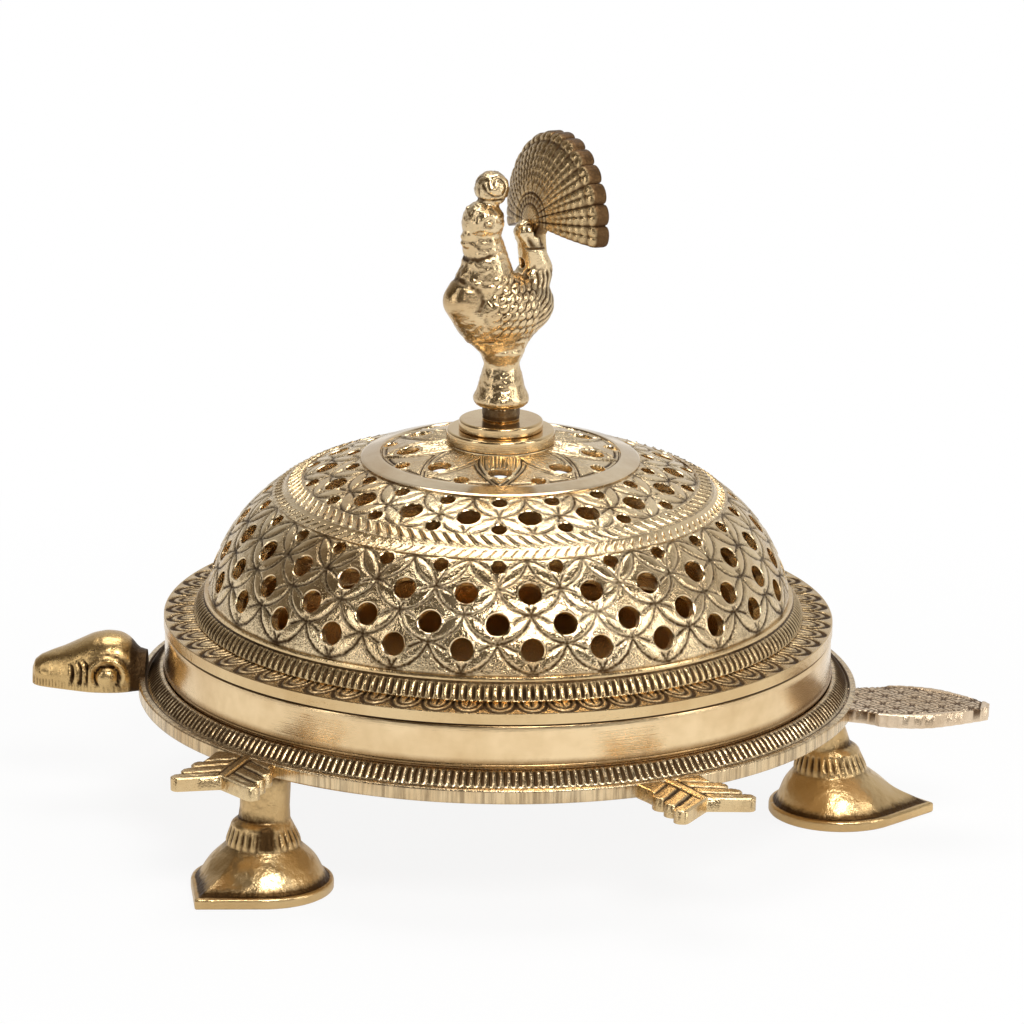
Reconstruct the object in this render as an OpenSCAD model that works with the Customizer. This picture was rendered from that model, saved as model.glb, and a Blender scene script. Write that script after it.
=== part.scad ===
// Incense burner: a cast brass tortoise on three legs carries a turned ember pan,
// and a pierced dome lid with a peacock finial lifts off it.
// Origin: on the floor, midway from the tip of the head to the tip of the tail.
// +X points to the tail, +Z up. The modules are drawn about the axis of the pan and dome.

/* [Base plate] */
// Thickness of the plate's filed edge
plate_t = 4.1; // [3.4:0.1:6]
// Rise of the milled ring's inner lip above the plate's edge
ring_rise = 3.6; // [2.5:0.1:5]
// Width of the milled ring
ring_w = 4.3; // [3:0.1:7]
// Width of the flat on top of the milled ring's lip
ring_lip = 0.8; // [0.4:0.1:1.6]
// Width of the plain edge outside the milled ring
edge_w = 1.7; // [1:0.1:4]
// Depth of the dark groove between the milled ring and the plain edge
groove_d = 0.8; // [0.3:0.1:1.2]
// Width of that groove
groove_w = 1.2; // [0.6:0.1:2]

/* [Paws] */
// Direction of the front paws' roots from the tail, either side
paw_front_at = 127.4; // [115:0.2:135]
// Direction that the front paws point in
paw_front_turn = 105; // [95:1:130]
// Direction of the rear paws' roots from the tail, either side
paw_rear_at = 57.2; // [45:0.2:65]
// Direction that the rear paws point in
paw_rear_turn = 52.5; // [40:0.5:70]
// Length of a paw from its root to its toe tips
paw_len = 24.5; // [20:0.5:34]
// Width of a paw across its toe tips
paw_w = 22.5; // [18:0.5:32]
// Radius of a toe's round end
toe_r = 2.7; // [1.5:0.1:3.5]
// Length of a paw's straight root, inside and outside the plate's edge
paw_root = 8; // [5:0.5:12]

/* [Head] */
// Length of the head beyond the plate
head_len = 31; // [26:0.5:40]
// Width of the head across the eyes
head_w = 21; // [17:0.5:26]
// Height of the skull above the head's flat underside
head_h = 15.5; // [12:0.5:20]
// Radius of the bulging eye
eye_r = 3.6; // [2.5:0.1:5]
// Angle of the head off the long axis, as fitted by hand
head_turn = 3; // [-6:0.5:6]

/* [Tail] */
// Length of the tail leaf beyond the plate
tail_len = 38.5; // [30:0.5:50]
// Width of the tail leaf at its widest
tail_w = 29; // [20:0.5:36]
// Angle of the tail off the long axis, as fitted by hand
tail_turn = -2.3; // [-6:0.1:6]

/* [Joints of the base castings] */
// Length of the tongue or pin that each casting has in the plate
tenon_len = 2.5; // [1.5:0.1:3]
// Radius of a leg's pin
pin_r = 3; // [2:0.1:3.5]
// Width of the head's and tail's tongue
tongue_w = 10; // [6:0.5:16]
// Thickness of that tongue
tongue_t = 2.2; // [1.4:0.1:2.6]

/* [Legs] */
// Height of the plate's underside above the floor
leg_h = 34.5; // [30:0.5:48]
// Length of the pointed foot, heel to toe
foot_len = 47.5; // [45:0.5:54]
// Width of the foot
foot_w = 40; // [32:0.5:44]
// Height of the foot's flat rim
foot_rim = 3.1; // [2:0.1:5]
// How far the foot's middle stands inside the plate's edge
foot_in = 0.5; // [0:0.5:10]
// Width of the ledge between the foot's rim and the bell
ledge_w = 1.2; // [0.6:0.1:2]
// How far the bell's waist stands in from the foot's rim
bell_in = 3.8; // [3:0.1:7]
// Share of the foot's point that is left at the bell's waist
bell_point = 0.17; // [0.1:0.01:0.6]
// How much the neck is thinner than the collar's foot at the collar's top
collar_taper = 1.5; // [0.6:0.1:3]
// Radius of a flute
flute_r = 0.9; // [0.5:0.1:1.2]
// Radius of the neck
neck_r = 7; // [5:0.1:8]
// Radius of the fluted collar
collar_r = 10.6; // [9:0.1:12]
// Height of the fluted collar's foot above the floor
collar_z = 13; // [10:0.5:16]
// Length of the fluted collar
collar_len = 5; // [4:0.5:10]
// Flutes round the collar
flutes = 20; // [12:1:28]
// How far the rear leg's neck stands in from its foot's middle
lean_rear = 12; // [3.8:0.1:14]
// How far the front legs' necks stand in from their feet's middle
lean_front = 5.2; // [3.8:0.1:14]
// Direction of the rear leg from the tail
leg_rear_at = 5; // [-10:1:12]
// Direction of the front legs from the tail, either side
leg_front_at = 126; // [115:1:132]

/* [Ember pan] */
// Outer radius of the pan
pan_r = 95.5; // [91:0.1:96]
// Wall of the pan
pan_wall = 2; // [1.4:0.1:3]
// Floor of the pan
pan_floor = 2; // [1.4:0.1:3]
// Height of the pan, floor to rim
pan_h = 16.2; // [13:0.1:30]
// Radius of the small roll at the pan's foot
pan_roll = 0.7; // [0.3:0.1:1]
// Chamfer on the pan's rim and on the flange's lower edge
rim_chamfer = 0.45; // [0.2:0.05:0.7]
// Clearance between the pan and the milled ring's lip
pan_gap = 0.3; // [0.2:0.05:0.6]

/* [Pan fixing] */
// Radius of the pan screw's shank
screw_r = 3; // [2:0.1:4]
// Radius of its low round head
screw_head_r = 6; // [5:0.1:8]
// Height of its head
screw_head_h = 2.2; // [1.5:0.1:3]
// Hole clearance round the screws and studs
hole_gap = 0.25; // [0.15:0.05:0.5]
// Radius of the washers
washer_r = 7.5; // [6.5:0.1:10]
// Thickness of the washers
washer_t = 1.2; // [0.8:0.1:2]
// Width of the flat faced round a washer
face_gap = 0.5; // [0.2:0.1:1]
// Width of the nuts across their corners
nut_w = 11.5; // [10:0.1:14]
// Thickness of the nuts
nut_t = 4; // [3:0.1:6]
// Thread that stands proud of a nut
thread_end = 1.5; // [0.5:0.1:3]

/* [Lid] */
// Radius of the shoulder arc
shoulder_r = 43.3; // [38:0.1:48]
// Radius of the crown arc
crown_r = 138.7; // [120:0.1:160]
// Height of the shoulder arc's centre above the pan's rim
shoulder_rise = 2.9; // [0:0.1:8]
// Wall of the dome
dome_wall = 2.4; // [1.8:0.1:3.5]
// How far the flange stands out past the pan
flange_over = 0.3; // [0:0.1:2]
// Width of the leaf border on the flange
leaf_w = 8.5; // [5:0.1:14]
// Height of the flange's plain edge
flange_t = 3.7; // [2.5:0.1:6]
// Rise of the leaf border from the flange's edge to the bead ring
leaf_rise = 0.6; // [0:0.1:2]
// Width of the bead ring at the dome's foot
bead_w = 3.2; // [2:0.1:4]
// Height of the bead ring
bead_h = 4.4; // [3:0.1:6]
// Height of the plain band above the bead ring
band_h = 1.6; // [0.8:0.1:3]
// Depth of the locating lip inside the pan
lip_h = 3.5; // [2:0.1:6]
// Thickness of the locating lip
lip_t = 2; // [1.4:0.1:3]
// Clearance between the locating lip and the pan
lip_gap = 0.6; // [0.3:0.1:1.2]

/* [Piercing] */
// Repeats of the star pattern round the crown
star_n = 9; // [6:1:12]
// Repeats of the middle band, four-petal flowers
petal_n = 18; // [12:1:22]
// Repeats of the lattice round the shoulder
lattice_n = 26; // [18:1:30]
// Radius of the large drilled holes
hole_r = 3.3; // [2.5:0.05:3.6]
// Radius of the small drilled holes
hole_small_r = 2.1; // [1.5:0.05:2.4]
// Turn of the whole pattern about the axis
pattern_turn = -85; // [-180:0.5:180]
// Slope of the dome at the star's large holes
star_slope = 11.1; // [10:0.1:12]
// Slope at the star's small holes
star_small_slope = 13.3; // [12.8:0.1:14]
// Slopes at the middle band's upper small, large and lower small holes
petal_slopes = [17.9, 20.9, 23];
// Slopes at the lattice's four rows of holes
lattice_slopes = [37.5, 48.8, 60.8, 70.4];
// Slopes at the edges of the smooth ring round the crown
smooth_slopes = [14.2, 16.7];
// How far the smooth ring stands proud of the cast ground
smooth_h = 0.4; // [0.2:0.1:0.8]

/* [Collars and stud] */
// Radius of the lower collar
collar1_r = 15.5; // [13:0.1:16.5]
// Height of the lower collar
collar1_h = 3.7; // [2:0.1:6]
// Radius of the upper collar
collar2_r = 12; // [10:0.1:12.8]
// Height of the upper collar
collar2_h = 2.9; // [2:0.1:6]
// Height of the boss that the collars stand on, at their edge
boss_h = 0.3; // [0.1:0.1:1]
// Rounding of the collars' upper edges
collar_edge = 0.6; // [0.3:0.1:1.2]
// Radius of the stud through the collars and the crown
stud_r = 2.5; // [2:0.1:3]
// Depth of the stud in the pedestal
stud_in = 12; // [6:0.5:16]

/* [Peacock] */
// Compass direction that the bird faces
bird_turn = -145; // [-180:1:180]
// Radius of the pedestal's flare
pedestal_r = 7.3; // [6.5:0.1:10]
// Radius of the pedestal's waist
waist_r = 5.5; // [4.5:0.1:6.4]
// Height of the pedestal
pedestal_h = 20.5; // [17:0.5:30]
// Height of the body's middle above the pedestal's foot
body_z = 33; // [31:0.5:40]
// How far the breast stands out in front of the axis
breast_x = 12.9; // [9:0.1:16]
// How far the rump's middle stands behind the axis
rump_x = 7.8; // [6:0.1:12]
// Radius of the body
body_r = 11; // [9:0.1:13]
// Radius of the swell in front of the breast
breast_r = 5.8; // [4:0.1:8]
// Radius of the rump
rump_r = 8; // [7:0.1:10]
// Height of the head's middle above the pedestal's foot
bird_head_z = 58.5; // [55:0.5:64]
// How far the head's middle stands in front of the axis
bird_head_x = 6.6; // [4:0.1:9]
// Radius of the head
bird_head_r = 6.2; // [5:0.1:7]
// Radius of the crest
crest_r = 5.2; // [4:0.1:6]
// Radius of the tail stem at its foot
stem_low_r = 4.9; // [3:0.1:6]
// Radius of the tail stem at the fan
stem_top_r = 3.8; // [2.5:0.1:4.5]
// Radius of the fan, from its root to its rim
fan_r = 25.2; // [24:0.1:36]
// Thickness of the fan
fan_t = 4.2; // [2.5:0.1:5]
// Radius of the dome that the fan's bulging front lies on
fan_dome = 46; // [42:1:90]
// Height of the fan's root above the pedestal's foot
fan_z = 57; // [54:0.5:62]
// How far the fan's root stands behind the axis
fan_x = 8; // [6:0.1:11]
// Scallops round the fan's rim
fan_lobes = 14; // [9:1:17]
// Angle that the fan opens to
fan_span = 204; // [150:2:220]
// Angle that the fan is turned towards the bird's right, as fitted by hand
fan_roll = 5; // [-10:1:10]
// Angle that the fan leans back
fan_lean = 3; // [0:0.5:10]
// Length of the fan's tang, down the back of the tail stem
tang_len = 15; // [12:0.5:17]
// Width of the tang
tang_w = 6.4; // [4:0.1:8]
// Radius of the fan rivet
rivet_r = 1.5; // [1:0.1:2]

/* [Hidden] */
$fn = 96;
brass = [0.80, 0.63, 0.33];
bright_brass = [0.88, 0.72, 0.42];
old_brass = [0.62, 0.47, 0.24];
steel = [0.62, 0.63, 0.65];
bore_end = 1;                              // how far a bore's cutter runs past the wall

flange_r = pan_r + flange_over;            // outer radius of the flange
dome_r = flange_r - leaf_w - bead_w;       // largest outer radius of the dome
ring_in = pan_r + pan_gap;                 // inner wall of the milled ring
ring_out = ring_in + ring_w;               // foot of the milled ring
plate_r = ring_out + groove_w + edge_w;    // radius of the base plate
foot_at = plate_r - foot_in;               // radius of a foot's middle from the pan's axis
axis_x = (head_len - tail_len) / 2;        // where the pan's axis stands along X

// Heights, from the floor up
plate_top = leg_h + plate_t;               // seat of the pan
ring_z = plate_top + ring_rise;
seat_z = plate_top + pan_h;                // rim of the pan, where the flange rests
flange_top = seat_z + flange_t;
bead_r = dome_r + bead_w;
bead_z = flange_top + leaf_rise;
band_z = bead_z + bead_h;
shoulder_c = dome_r - shoulder_r;          // the shoulder arc's centre, out from the axis
crown_slope = asin(shoulder_c / (crown_r - shoulder_r));  // slope where crown meets shoulder
shoulder_z = seat_z + shoulder_rise;       // the shoulder arc's centre, and the foot of the dome
crown_z = shoulder_z - (crown_r - shoulder_r) * cos(crown_slope);
crown_in = crown_z + crown_r - dome_wall;  // underside of the crown, on the axis
collar_seat = crown_z + sqrt(crown_r * crown_r - collar1_r * collar1_r) + boss_h;
collar2_z = collar_seat + collar1_h;
bird_z = collar2_z + collar2_h;            // foot of the pedestal

// A point of the dome where its surface slopes by a, moved inwards by d
function dome_pt(a, d = 0) = a < crown_slope
  ? [(crown_r - d) * sin(a), crown_z + (crown_r - d) * cos(a)]
  : [shoulder_c + (shoulder_r - d) * sin(a), shoulder_z + (shoulder_r - d) * cos(a)];
// The dome's line from slope a0 to slope a1, moved inwards by d
function dome_line(a0, a1, d = 0, n = 12) = [for (i = [0:n]) dome_pt(a0 + (a1 - a0) * i / n, d)];
// The slope at which the shoulder reaches height z
function slope_at(z) = acos((z - shoulder_z) / shoulder_r);

// Base plate ---------------------------------------------------------------------------

module paw_shape() {
  linear_extrude(plate_t) polygon([[-paw_root, -paw_w * 0.44], [paw_root, -paw_w * 0.44],
    [paw_len - toe_r, -paw_w / 2], [paw_len * 0.78, 0], [paw_len - toe_r, paw_w / 2],
    [paw_root, paw_w * 0.44], [-paw_root, paw_w * 0.44]]);
  for (side = [-1, 1], toe = [0:2])
    translate([paw_len * (0.45 + 0.235 * toe), side * (paw_w / 2 - toe_r * (0.9 - 0.3 * toe)), 0])
      cylinder(r = toe_r, h = plate_t);
}

module paw(at, turn) {
  rotate([0, 0, at]) translate([plate_r, 0, leg_h]) rotate([0, 0, turn - at]) paw_shape();
}

module all_paws() {
  difference() {
    for (side = [-1, 1]) {
      paw(side * paw_front_at, side * paw_front_turn);
      paw(side * paw_rear_at, side * paw_rear_turn);
    }
    translate([0, 0, leg_h - bore_end]) cylinder(r = ring_out, h = plate_t + 2 * bore_end);
  }
}

module plate_disc() {
  lip_foot = ring_in + ring_lip * 1.75;      // where the ring's slope starts
  lip_z = ring_z - ring_rise * 0.14;
  rotate_extrude() polygon([[0, leg_h], [plate_r, leg_h], [plate_r, plate_top],
    [plate_r - edge_w, plate_top], [ring_out + groove_w * 0.7, plate_top - groove_d],
    [ring_out, plate_top - groove_d], [ring_out, plate_top], [lip_foot, lip_z],
    [ring_in + ring_lip, ring_z], [ring_in, ring_z], [ring_in, plate_top], [0, plate_top]]);
}

module tongue() {
  translate([plate_r - tenon_len, -tongue_w / 2, leg_h + (plate_t - tongue_t) / 2])
    cube([2 * tenon_len, tongue_w, tongue_t]);
}

module base_plate() {
  color(brass) difference() {
    union() {
      plate_disc();
      all_paws();
    }
    rotate([0, 0, 180 + head_turn]) tongue();
    rotate([0, 0, tail_turn]) tongue();
    leg_pin(leg_rear_at, lean_rear);
    leg_pin(-leg_front_at, lean_front);
    leg_pin(leg_front_at, lean_front);
    translate([0, 0, leg_h - bore_end])
      cylinder(r = screw_r + hole_gap, h = plate_t + 2 * bore_end);
  }
}

// Head and tail -------------------------------------------------------------------------

module head_solid() {
  skull_r = head_w / 2;
  skull_x = head_len * 0.36;
  hull() {
    translate([skull_x, 0, head_h - skull_r]) sphere(r = skull_r, $fn = 32);
    translate([skull_x * 0.55, 0, head_h * 0.42]) sphere(r = skull_r * 0.78, $fn = 32);
    translate([head_len - head_h * 0.22, 0, head_h * 0.2]) sphere(r = head_h * 0.22, $fn = 32);
  }
  for (side = [-1, 1])
    translate([skull_x, side * (skull_r - eye_r * 0.55), head_h * 0.33])
      sphere(r = eye_r);
}

module tortoise_head() {
  neck_w = head_w * 0.7;
  skull_x = head_len * 0.36;
  color(brass) rotate([0, 0, 180 + head_turn]) union() {
    intersection() {
      union() {
        translate([plate_r, 0, leg_h]) head_solid();
        translate([plate_r - tenon_len, -neck_w / 2, leg_h])
          cube([tenon_len + skull_x / 2, neck_w, head_h * 0.5]);
      }
      difference() {
        translate([plate_r - tenon_len, -head_w, leg_h])
          cube([head_len + 2 * tenon_len, 2 * head_w, 2 * head_h]);
        // the neck is filed to sit against the plate's round edge
        rotate([0, 0, -180 - head_turn]) translate([0, 0, leg_h - bore_end])
          cylinder(r = plate_r, h = 2 * head_h);
      }
    }
    tongue();
  }
}

module tail_shape() {
  a = tail_len;
  w = tail_w / 2;
  polygon([[-tenon_len, -w * 0.7], [a * 0.12, -w * 0.82], [a * 0.25, -w], [a * 0.45, -w * 0.98],
    [a * 0.62, -w * 0.85], [a * 0.8, -w * 0.55], [a * 0.93, -w * 0.3], [a, -w * 0.15],
    [a, w * 0.15], [a * 0.93, w * 0.3], [a * 0.8, w * 0.55], [a * 0.62, w * 0.85],
    [a * 0.45, w * 0.98], [a * 0.25, w], [a * 0.12, w * 0.82], [-tenon_len, w * 0.7]]);
}

module tortoise_tail() {
  color(brass) rotate([0, 0, tail_turn]) union() {
    difference() {
      translate([plate_r, 0, leg_h]) linear_extrude(plate_t) tail_shape();
      rotate([0, 0, -tail_turn]) translate([0, 0, leg_h - bore_end])
        cylinder(r = plate_r, h = plate_t + 2 * bore_end);
    }
    tongue();
  }
}

// Legs ------------------------------------------------------------------------------------

module leg_pin(at, lean) {
  rotate([0, 0, at]) translate([foot_at - lean, 0, leg_h - bore_end])
    cylinder(r = pin_r, h = tenon_len + bore_end);
}

// The foot's outline, set in by inset all round, with this share of its point left at the toe
module foot_outline(inset, point = 1) {
  heel_r = foot_w / 2 - inset;
  heel_x = (foot_w - foot_len) / 2;
  toe_x = heel_x + heel_r + point * (foot_len - foot_w);
  tangent = acos(heel_r / (toe_x - heel_x));
  union() {
    translate([heel_x, 0]) circle(r = heel_r);
    polygon([[heel_x + heel_r * cos(tangent), -heel_r * sin(tangent)], [toe_x, 0],
      [heel_x + heel_r * cos(tangent), heel_r * sin(tangent)], [heel_x, 0]]);
  }
}

// One leg at the origin, toe towards +X, its neck standing in by lean
module leg(lean) {
  waist_z = foot_rim + (collar_z - foot_rim) * 0.4;
  heel_in = (foot_len - foot_w) / 2;        // the heel's middle, in from the foot's middle
  in_top = heel_in + (lean - heel_in) * 0.3;  // the collar stands in with the neck
  slice = foot_rim * 0.1;                   // thickness of the hulls' end slices
  ledge_point = 0.93;                       // share of the foot's point left at the ledge
  difference() {
    union() {
      linear_extrude(foot_rim) foot_outline(0);
      hull() {
        translate([0, 0, foot_rim - slice]) linear_extrude(slice) foot_outline(ledge_w, ledge_point);
        translate([-(in_top - heel_in) * 0.4, 0, waist_z])
          linear_extrude(slice) foot_outline(bell_in, bell_point);
      }
      hull() {
        translate([-(in_top - heel_in) * 0.4, 0, waist_z])
          linear_extrude(slice) foot_outline(bell_in, bell_point);
        translate([-in_top, 0, collar_z]) cylinder(r = collar_r * 1.06, h = slice, $fn = 48);
      }
      hull() {
        translate([-in_top, 0, collar_z]) cylinder(r = collar_r, h = slice, $fn = 48);
        translate([-in_top - (lean - heel_in) * 0.1, 0, collar_z + collar_len * 0.88])
          cylinder(r = collar_r - collar_taper, h = collar_len * 0.12, $fn = 48);
      }
      hull() {
        translate([-in_top - (lean - heel_in) * 0.1, 0, collar_z + collar_len * 0.7])
          cylinder(r = neck_r * 1.08, h = slice, $fn = 48);
        translate([-lean, 0, leg_h - slice]) cylinder(r = neck_r, h = slice, $fn = 48);
      }
      translate([-lean, 0, leg_h - slice]) cylinder(r = pin_r, h = tenon_len + slice);
    }
    for (i = [0:flutes - 1])
      translate([-in_top, 0, collar_z + collar_len * 0.15]) rotate([0, -8, 360 * i / flutes])
        translate([collar_r + flute_r * 0.55, 0, 0]) cylinder(r = flute_r, h = collar_len, $fn = 8);
  }
}

module placed_leg(at, lean) {
  color(old_brass) rotate([0, 0, at]) translate([foot_at, 0, 0]) leg(lean);
}

module leg_rear() { placed_leg(leg_rear_at, lean_rear); }
module leg_front_left() { placed_leg(-leg_front_at, lean_front); }
module leg_front_right() { placed_leg(leg_front_at, lean_front); }

// Ember pan and its fixing ---------------------------------------------------------------

module ember_pan() {
  in_r = pan_r - pan_wall;
  floor_z = plate_top + pan_floor;
  corner = pan_wall * 0.75;                 // chamfer inside, where the wall meets the floor
  color(bright_brass) difference() {
    union() {
      rotate_extrude() polygon([[0, plate_top], [pan_r, plate_top], [pan_r, seat_z - rim_chamfer],
        [pan_r - rim_chamfer, seat_z], [in_r, seat_z], [in_r, floor_z + corner],
        [in_r - corner, floor_z], [0, floor_z]]);
      // the roll runs round the foot of the wall, just above the milled ring's lip
      rotate_extrude() translate([pan_r - pan_roll * 0.4, ring_z + pan_roll + pan_gap])
        circle(r = pan_roll, $fn = 24);
    }
    translate([0, 0, plate_top - bore_end])
      cylinder(r = screw_r + hole_gap, h = pan_floor + 2 * bore_end);
  }
}

module hex_nut(bore_r) {
  difference() {
    cylinder(r = nut_w / 2, h = nut_t, $fn = 6);
    translate([0, 0, -bore_end]) cylinder(r = bore_r, h = nut_t + 2 * bore_end);
  }
}

module washer(bore_r) {
  difference() {
    cylinder(r = washer_r, h = washer_t);
    translate([0, 0, -bore_end]) cylinder(r = bore_r, h = washer_t + 2 * bore_end);
  }
}

module pan_screw() {
  head_z = plate_top + pan_floor;
  end_z = leg_h - washer_t - nut_t - thread_end;
  color(steel) union() {
    translate([0, 0, head_z]) rotate_extrude() polygon([[0, 0], [screw_head_r, 0],
      [screw_head_r, screw_head_h * 0.4], [screw_head_r * 0.75, screw_head_h * 0.85],
      [screw_head_r * 0.3, screw_head_h], [0, screw_head_h]]);
    translate([0, 0, end_z]) cylinder(r = screw_r, h = head_z - end_z);
  }
}

module pan_washer() {
  color(steel) translate([0, 0, leg_h - washer_t]) washer(screw_r + hole_gap);
}

module pan_nut() {
  color(steel) translate([0, 0, leg_h - washer_t - nut_t]) hex_nut(screw_r);
}

// Lid -------------------------------------------------------------------------------------

module dome_shell() {
  lip_r = pan_r - pan_wall - lip_gap;
  wall_in = dome_r - dome_wall;
  band_top = band_z + band_h;
  rotate_extrude() polygon(concat(
    [[wall_in, seat_z], [lip_r - lip_t, seat_z], [lip_r - lip_t, seat_z - lip_h],
      [lip_r, seat_z - lip_h], [lip_r, seat_z], [flange_r - rim_chamfer, seat_z],
      [flange_r, seat_z + rim_chamfer], [flange_r, flange_top], [bead_r, bead_z],
      [bead_r - bead_w * 0.15, bead_z + bead_h * 0.6], [dome_r + bead_w * 0.22, band_z],
      [dome_r + bead_w * 0.1, band_top]],
    dome_line(slope_at(band_top), crown_slope),
    dome_line(crown_slope, smooth_slopes[1], 0, 4),
    dome_line(smooth_slopes[1], smooth_slopes[0], -smooth_h, 4),
    dome_line(smooth_slopes[0], asin(collar1_r / crown_r) + 0.3, 0, 6),
    [[collar1_r + boss_h, collar_seat], [0, collar_seat], [0, crown_in]],
    dome_line(1, crown_slope, dome_wall, 8),
    dome_line(crown_slope, 90, dome_wall),
    [[wall_in, shoulder_z]]));
}

// n holes square to the dome where it slopes by a, the first turned by half a step or not
module hole_row(n, a, r, half = 0) {
  out = 2 * dome_wall;
  p = dome_pt(a, dome_wall + out);
  for (k = [0:n - 1])
    rotate([0, 0, pattern_turn + (k + half) * 360 / n]) translate([p[0], 0, p[1]])
      rotate([0, a, 0]) cylinder(r = r, h = dome_wall + 2 * out, $fn = 24);
}

module lid_dome() {
  color(brass) difference() {
    dome_shell();
    hole_row(star_n, star_slope, hole_r);
    hole_row(star_n, star_small_slope, hole_small_r, 0.5);
    hole_row(petal_n, petal_slopes[0], hole_small_r);
    hole_row(petal_n, petal_slopes[1], hole_r, 0.5);
    hole_row(petal_n, petal_slopes[2], hole_small_r);
    hole_row(lattice_n, lattice_slopes[0], hole_small_r);
    hole_row(lattice_n, lattice_slopes[1], hole_r, 0.5);
    hole_row(lattice_n, lattice_slopes[2], hole_r);
    hole_row(lattice_n, lattice_slopes[3], hole_r, 0.5);
    translate([0, 0, crown_in - dome_wall])
      cylinder(r = stud_r + hole_gap, h = 4 * dome_wall);
    // a flat is faced under the crown for the washer
    translate([0, 0, crown_in - 1]) cylinder(r = washer_r + face_gap, h = 1);
  }
}

// Collars and fixing of the finial ---------------------------------------------------------

module collar(r, h) {
  edge = collar_edge;
  color(bright_brass) difference() {
    rotate_extrude() polygon([[0, 0], [r, 0], [r, h - edge], [r - edge * 0.3, h - edge * 0.3],
      [r - edge, h], [0, h]]);
    translate([0, 0, -bore_end]) cylinder(r = stud_r + hole_gap, h = h + 2 * bore_end);
  }
}

module collar_lower() { translate([0, 0, collar_seat]) collar(collar1_r, collar1_h); }
module collar_upper() { translate([0, 0, collar2_z]) collar(collar2_r, collar2_h); }

module finial_stud() {
  end_z = crown_in - washer_t - nut_t - thread_end;
  color(steel) translate([0, 0, end_z]) cylinder(r = stud_r, h = bird_z + stud_in - end_z);
}

module finial_washer() {
  color(bright_brass) translate([0, 0, crown_in - washer_t]) washer(stud_r + hole_gap);
}

module finial_nut() {
  color(bright_brass) translate([0, 0, crown_in - washer_t - nut_t]) hex_nut(stud_r);
}

// Peacock, facing +X before it is turned ------------------------------------------------------

fan_root = [-fan_x, 0, fan_z];              // the front of the fan, where its feathers meet
rivet_down = tang_len - 2 * rivet_r;       // the rivet's place, below the root
rivet_head_t = rivet_r;                    // thickness of the rivet's head
rivet_head_r = rivet_r * 1.35;
seat_cut = rivet_r * 0.5;                  // how deep the seat of its head is cut in the tang
back_r = fan_dome - fan_t;                 // radius of the dish's back
back_x = sqrt(back_r * back_r - rivet_down * rivet_down) - fan_dome;   // back of the tang

module ball(x, z, r) { translate([x, 0, z]) sphere(r = r, $fn = 32); }

module pedestal() {
  h = pedestal_h;
  rotate_extrude() polygon([[0, 0], [waist_r * 0.98, 0], [waist_r * 0.98, h * 0.195],
    [pedestal_r * 0.92, h * 0.224], [pedestal_r, h * 0.283], [pedestal_r * 0.96, h * 0.34],
    [waist_r * 1.07, h * 0.68], [waist_r, h * 0.8], [waist_r * 1.11, h], [0, h * 1.2]]);
}

module bird() {
  stem_low = [-rump_x - rump_r * 0.4, body_z + rump_r * 1.25];   // the tail stem's foot
  stem_top = [-fan_x * 1.06, fan_z - tang_w * 0.78];
  crest_z = bird_head_z + bird_head_r + crest_r * 0.6;
  hull() {
    ball(0, pedestal_h * 1.15, waist_r * 1.11);
    ball(body_r * 0.14, body_z, body_r);
    ball(body_r * 0.55, body_z - body_r * 0.27, body_r * 0.73);
    ball(-rump_x, body_z, rump_r);
  }
  hull() {
    ball(breast_x, body_z + breast_r * 0.52, breast_r);
    ball(body_r * 0.6, body_z - body_r * 0.2, body_r * 0.73);
    ball(body_r * 0.5, body_z + body_r * 1.1, body_r * 0.6);
  }
  hull() {
    ball(body_r * 0.45, body_z + body_r * 0.64, body_r * 0.745);
    ball(bird_head_x, bird_head_z - bird_head_r * 0.97, bird_head_r * 0.92);
  }
  ball(bird_head_x, bird_head_z, bird_head_r);
  hull() {
    ball(bird_head_x + bird_head_r * 0.74, bird_head_z - bird_head_r * 0.81, bird_head_r * 0.4);
    ball(bird_head_x + bird_head_r * 0.24, bird_head_z - bird_head_r * 0.24, bird_head_r * 0.65);
  }
  ball(bird_head_x - crest_r * 0.5, crest_z, crest_r);
  hull() {
    ball(-rump_x, body_z + rump_r * 0.37, rump_r * 0.75);
    ball(stem_low[0], stem_low[1], stem_low_r);
  }
  hull() {
    ball(stem_low[0], stem_low[1], stem_low_r);
    ball(stem_top[0], stem_top[1], stem_top_r);
  }
  hull() {
    ball(stem_top[0], stem_top[1], stem_top_r);
    ball(-fan_x * 0.87, fan_z - stem_top_r * 0.8, stem_top_r * 0.9);
  }
}

module peacock_body() {
  color(brass) translate([0, 0, bird_z]) rotate([0, 0, bird_turn]) difference() {
    union() {
      pedestal();
      bird();
    }
    translate([0, 0, -bore_end]) cylinder(r = stud_r, h = stud_in + bore_end);
    fan_place() {
      rivet_shank();
      fan_body();
      // behind the tang, the stem is cut away so that the rivet can be set
      translate([-3 * fan_t, -tang_w / 2, -tang_len]) cube([2.2 * fan_t, tang_w, tang_len]);
    }
  }
}

module fan_place() { translate(fan_root) rotate([0, -fan_lean, 0]) children(); }

module rivet_shank() {
  translate([-2 * fan_t, 0, -rivet_down]) rotate([0, 90, 0]) cylinder(r = rivet_r, h = 2.6 * fan_t);
}

// A flat is spot faced in the back of the tang, for the rivet's head
module rivet_seat() {
  translate([back_x + seat_cut - fan_t, 0, -rivet_down]) rotate([0, 90, 0])
    cylinder(r = rivet_head_r * 1.15, h = fan_t);
}

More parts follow.
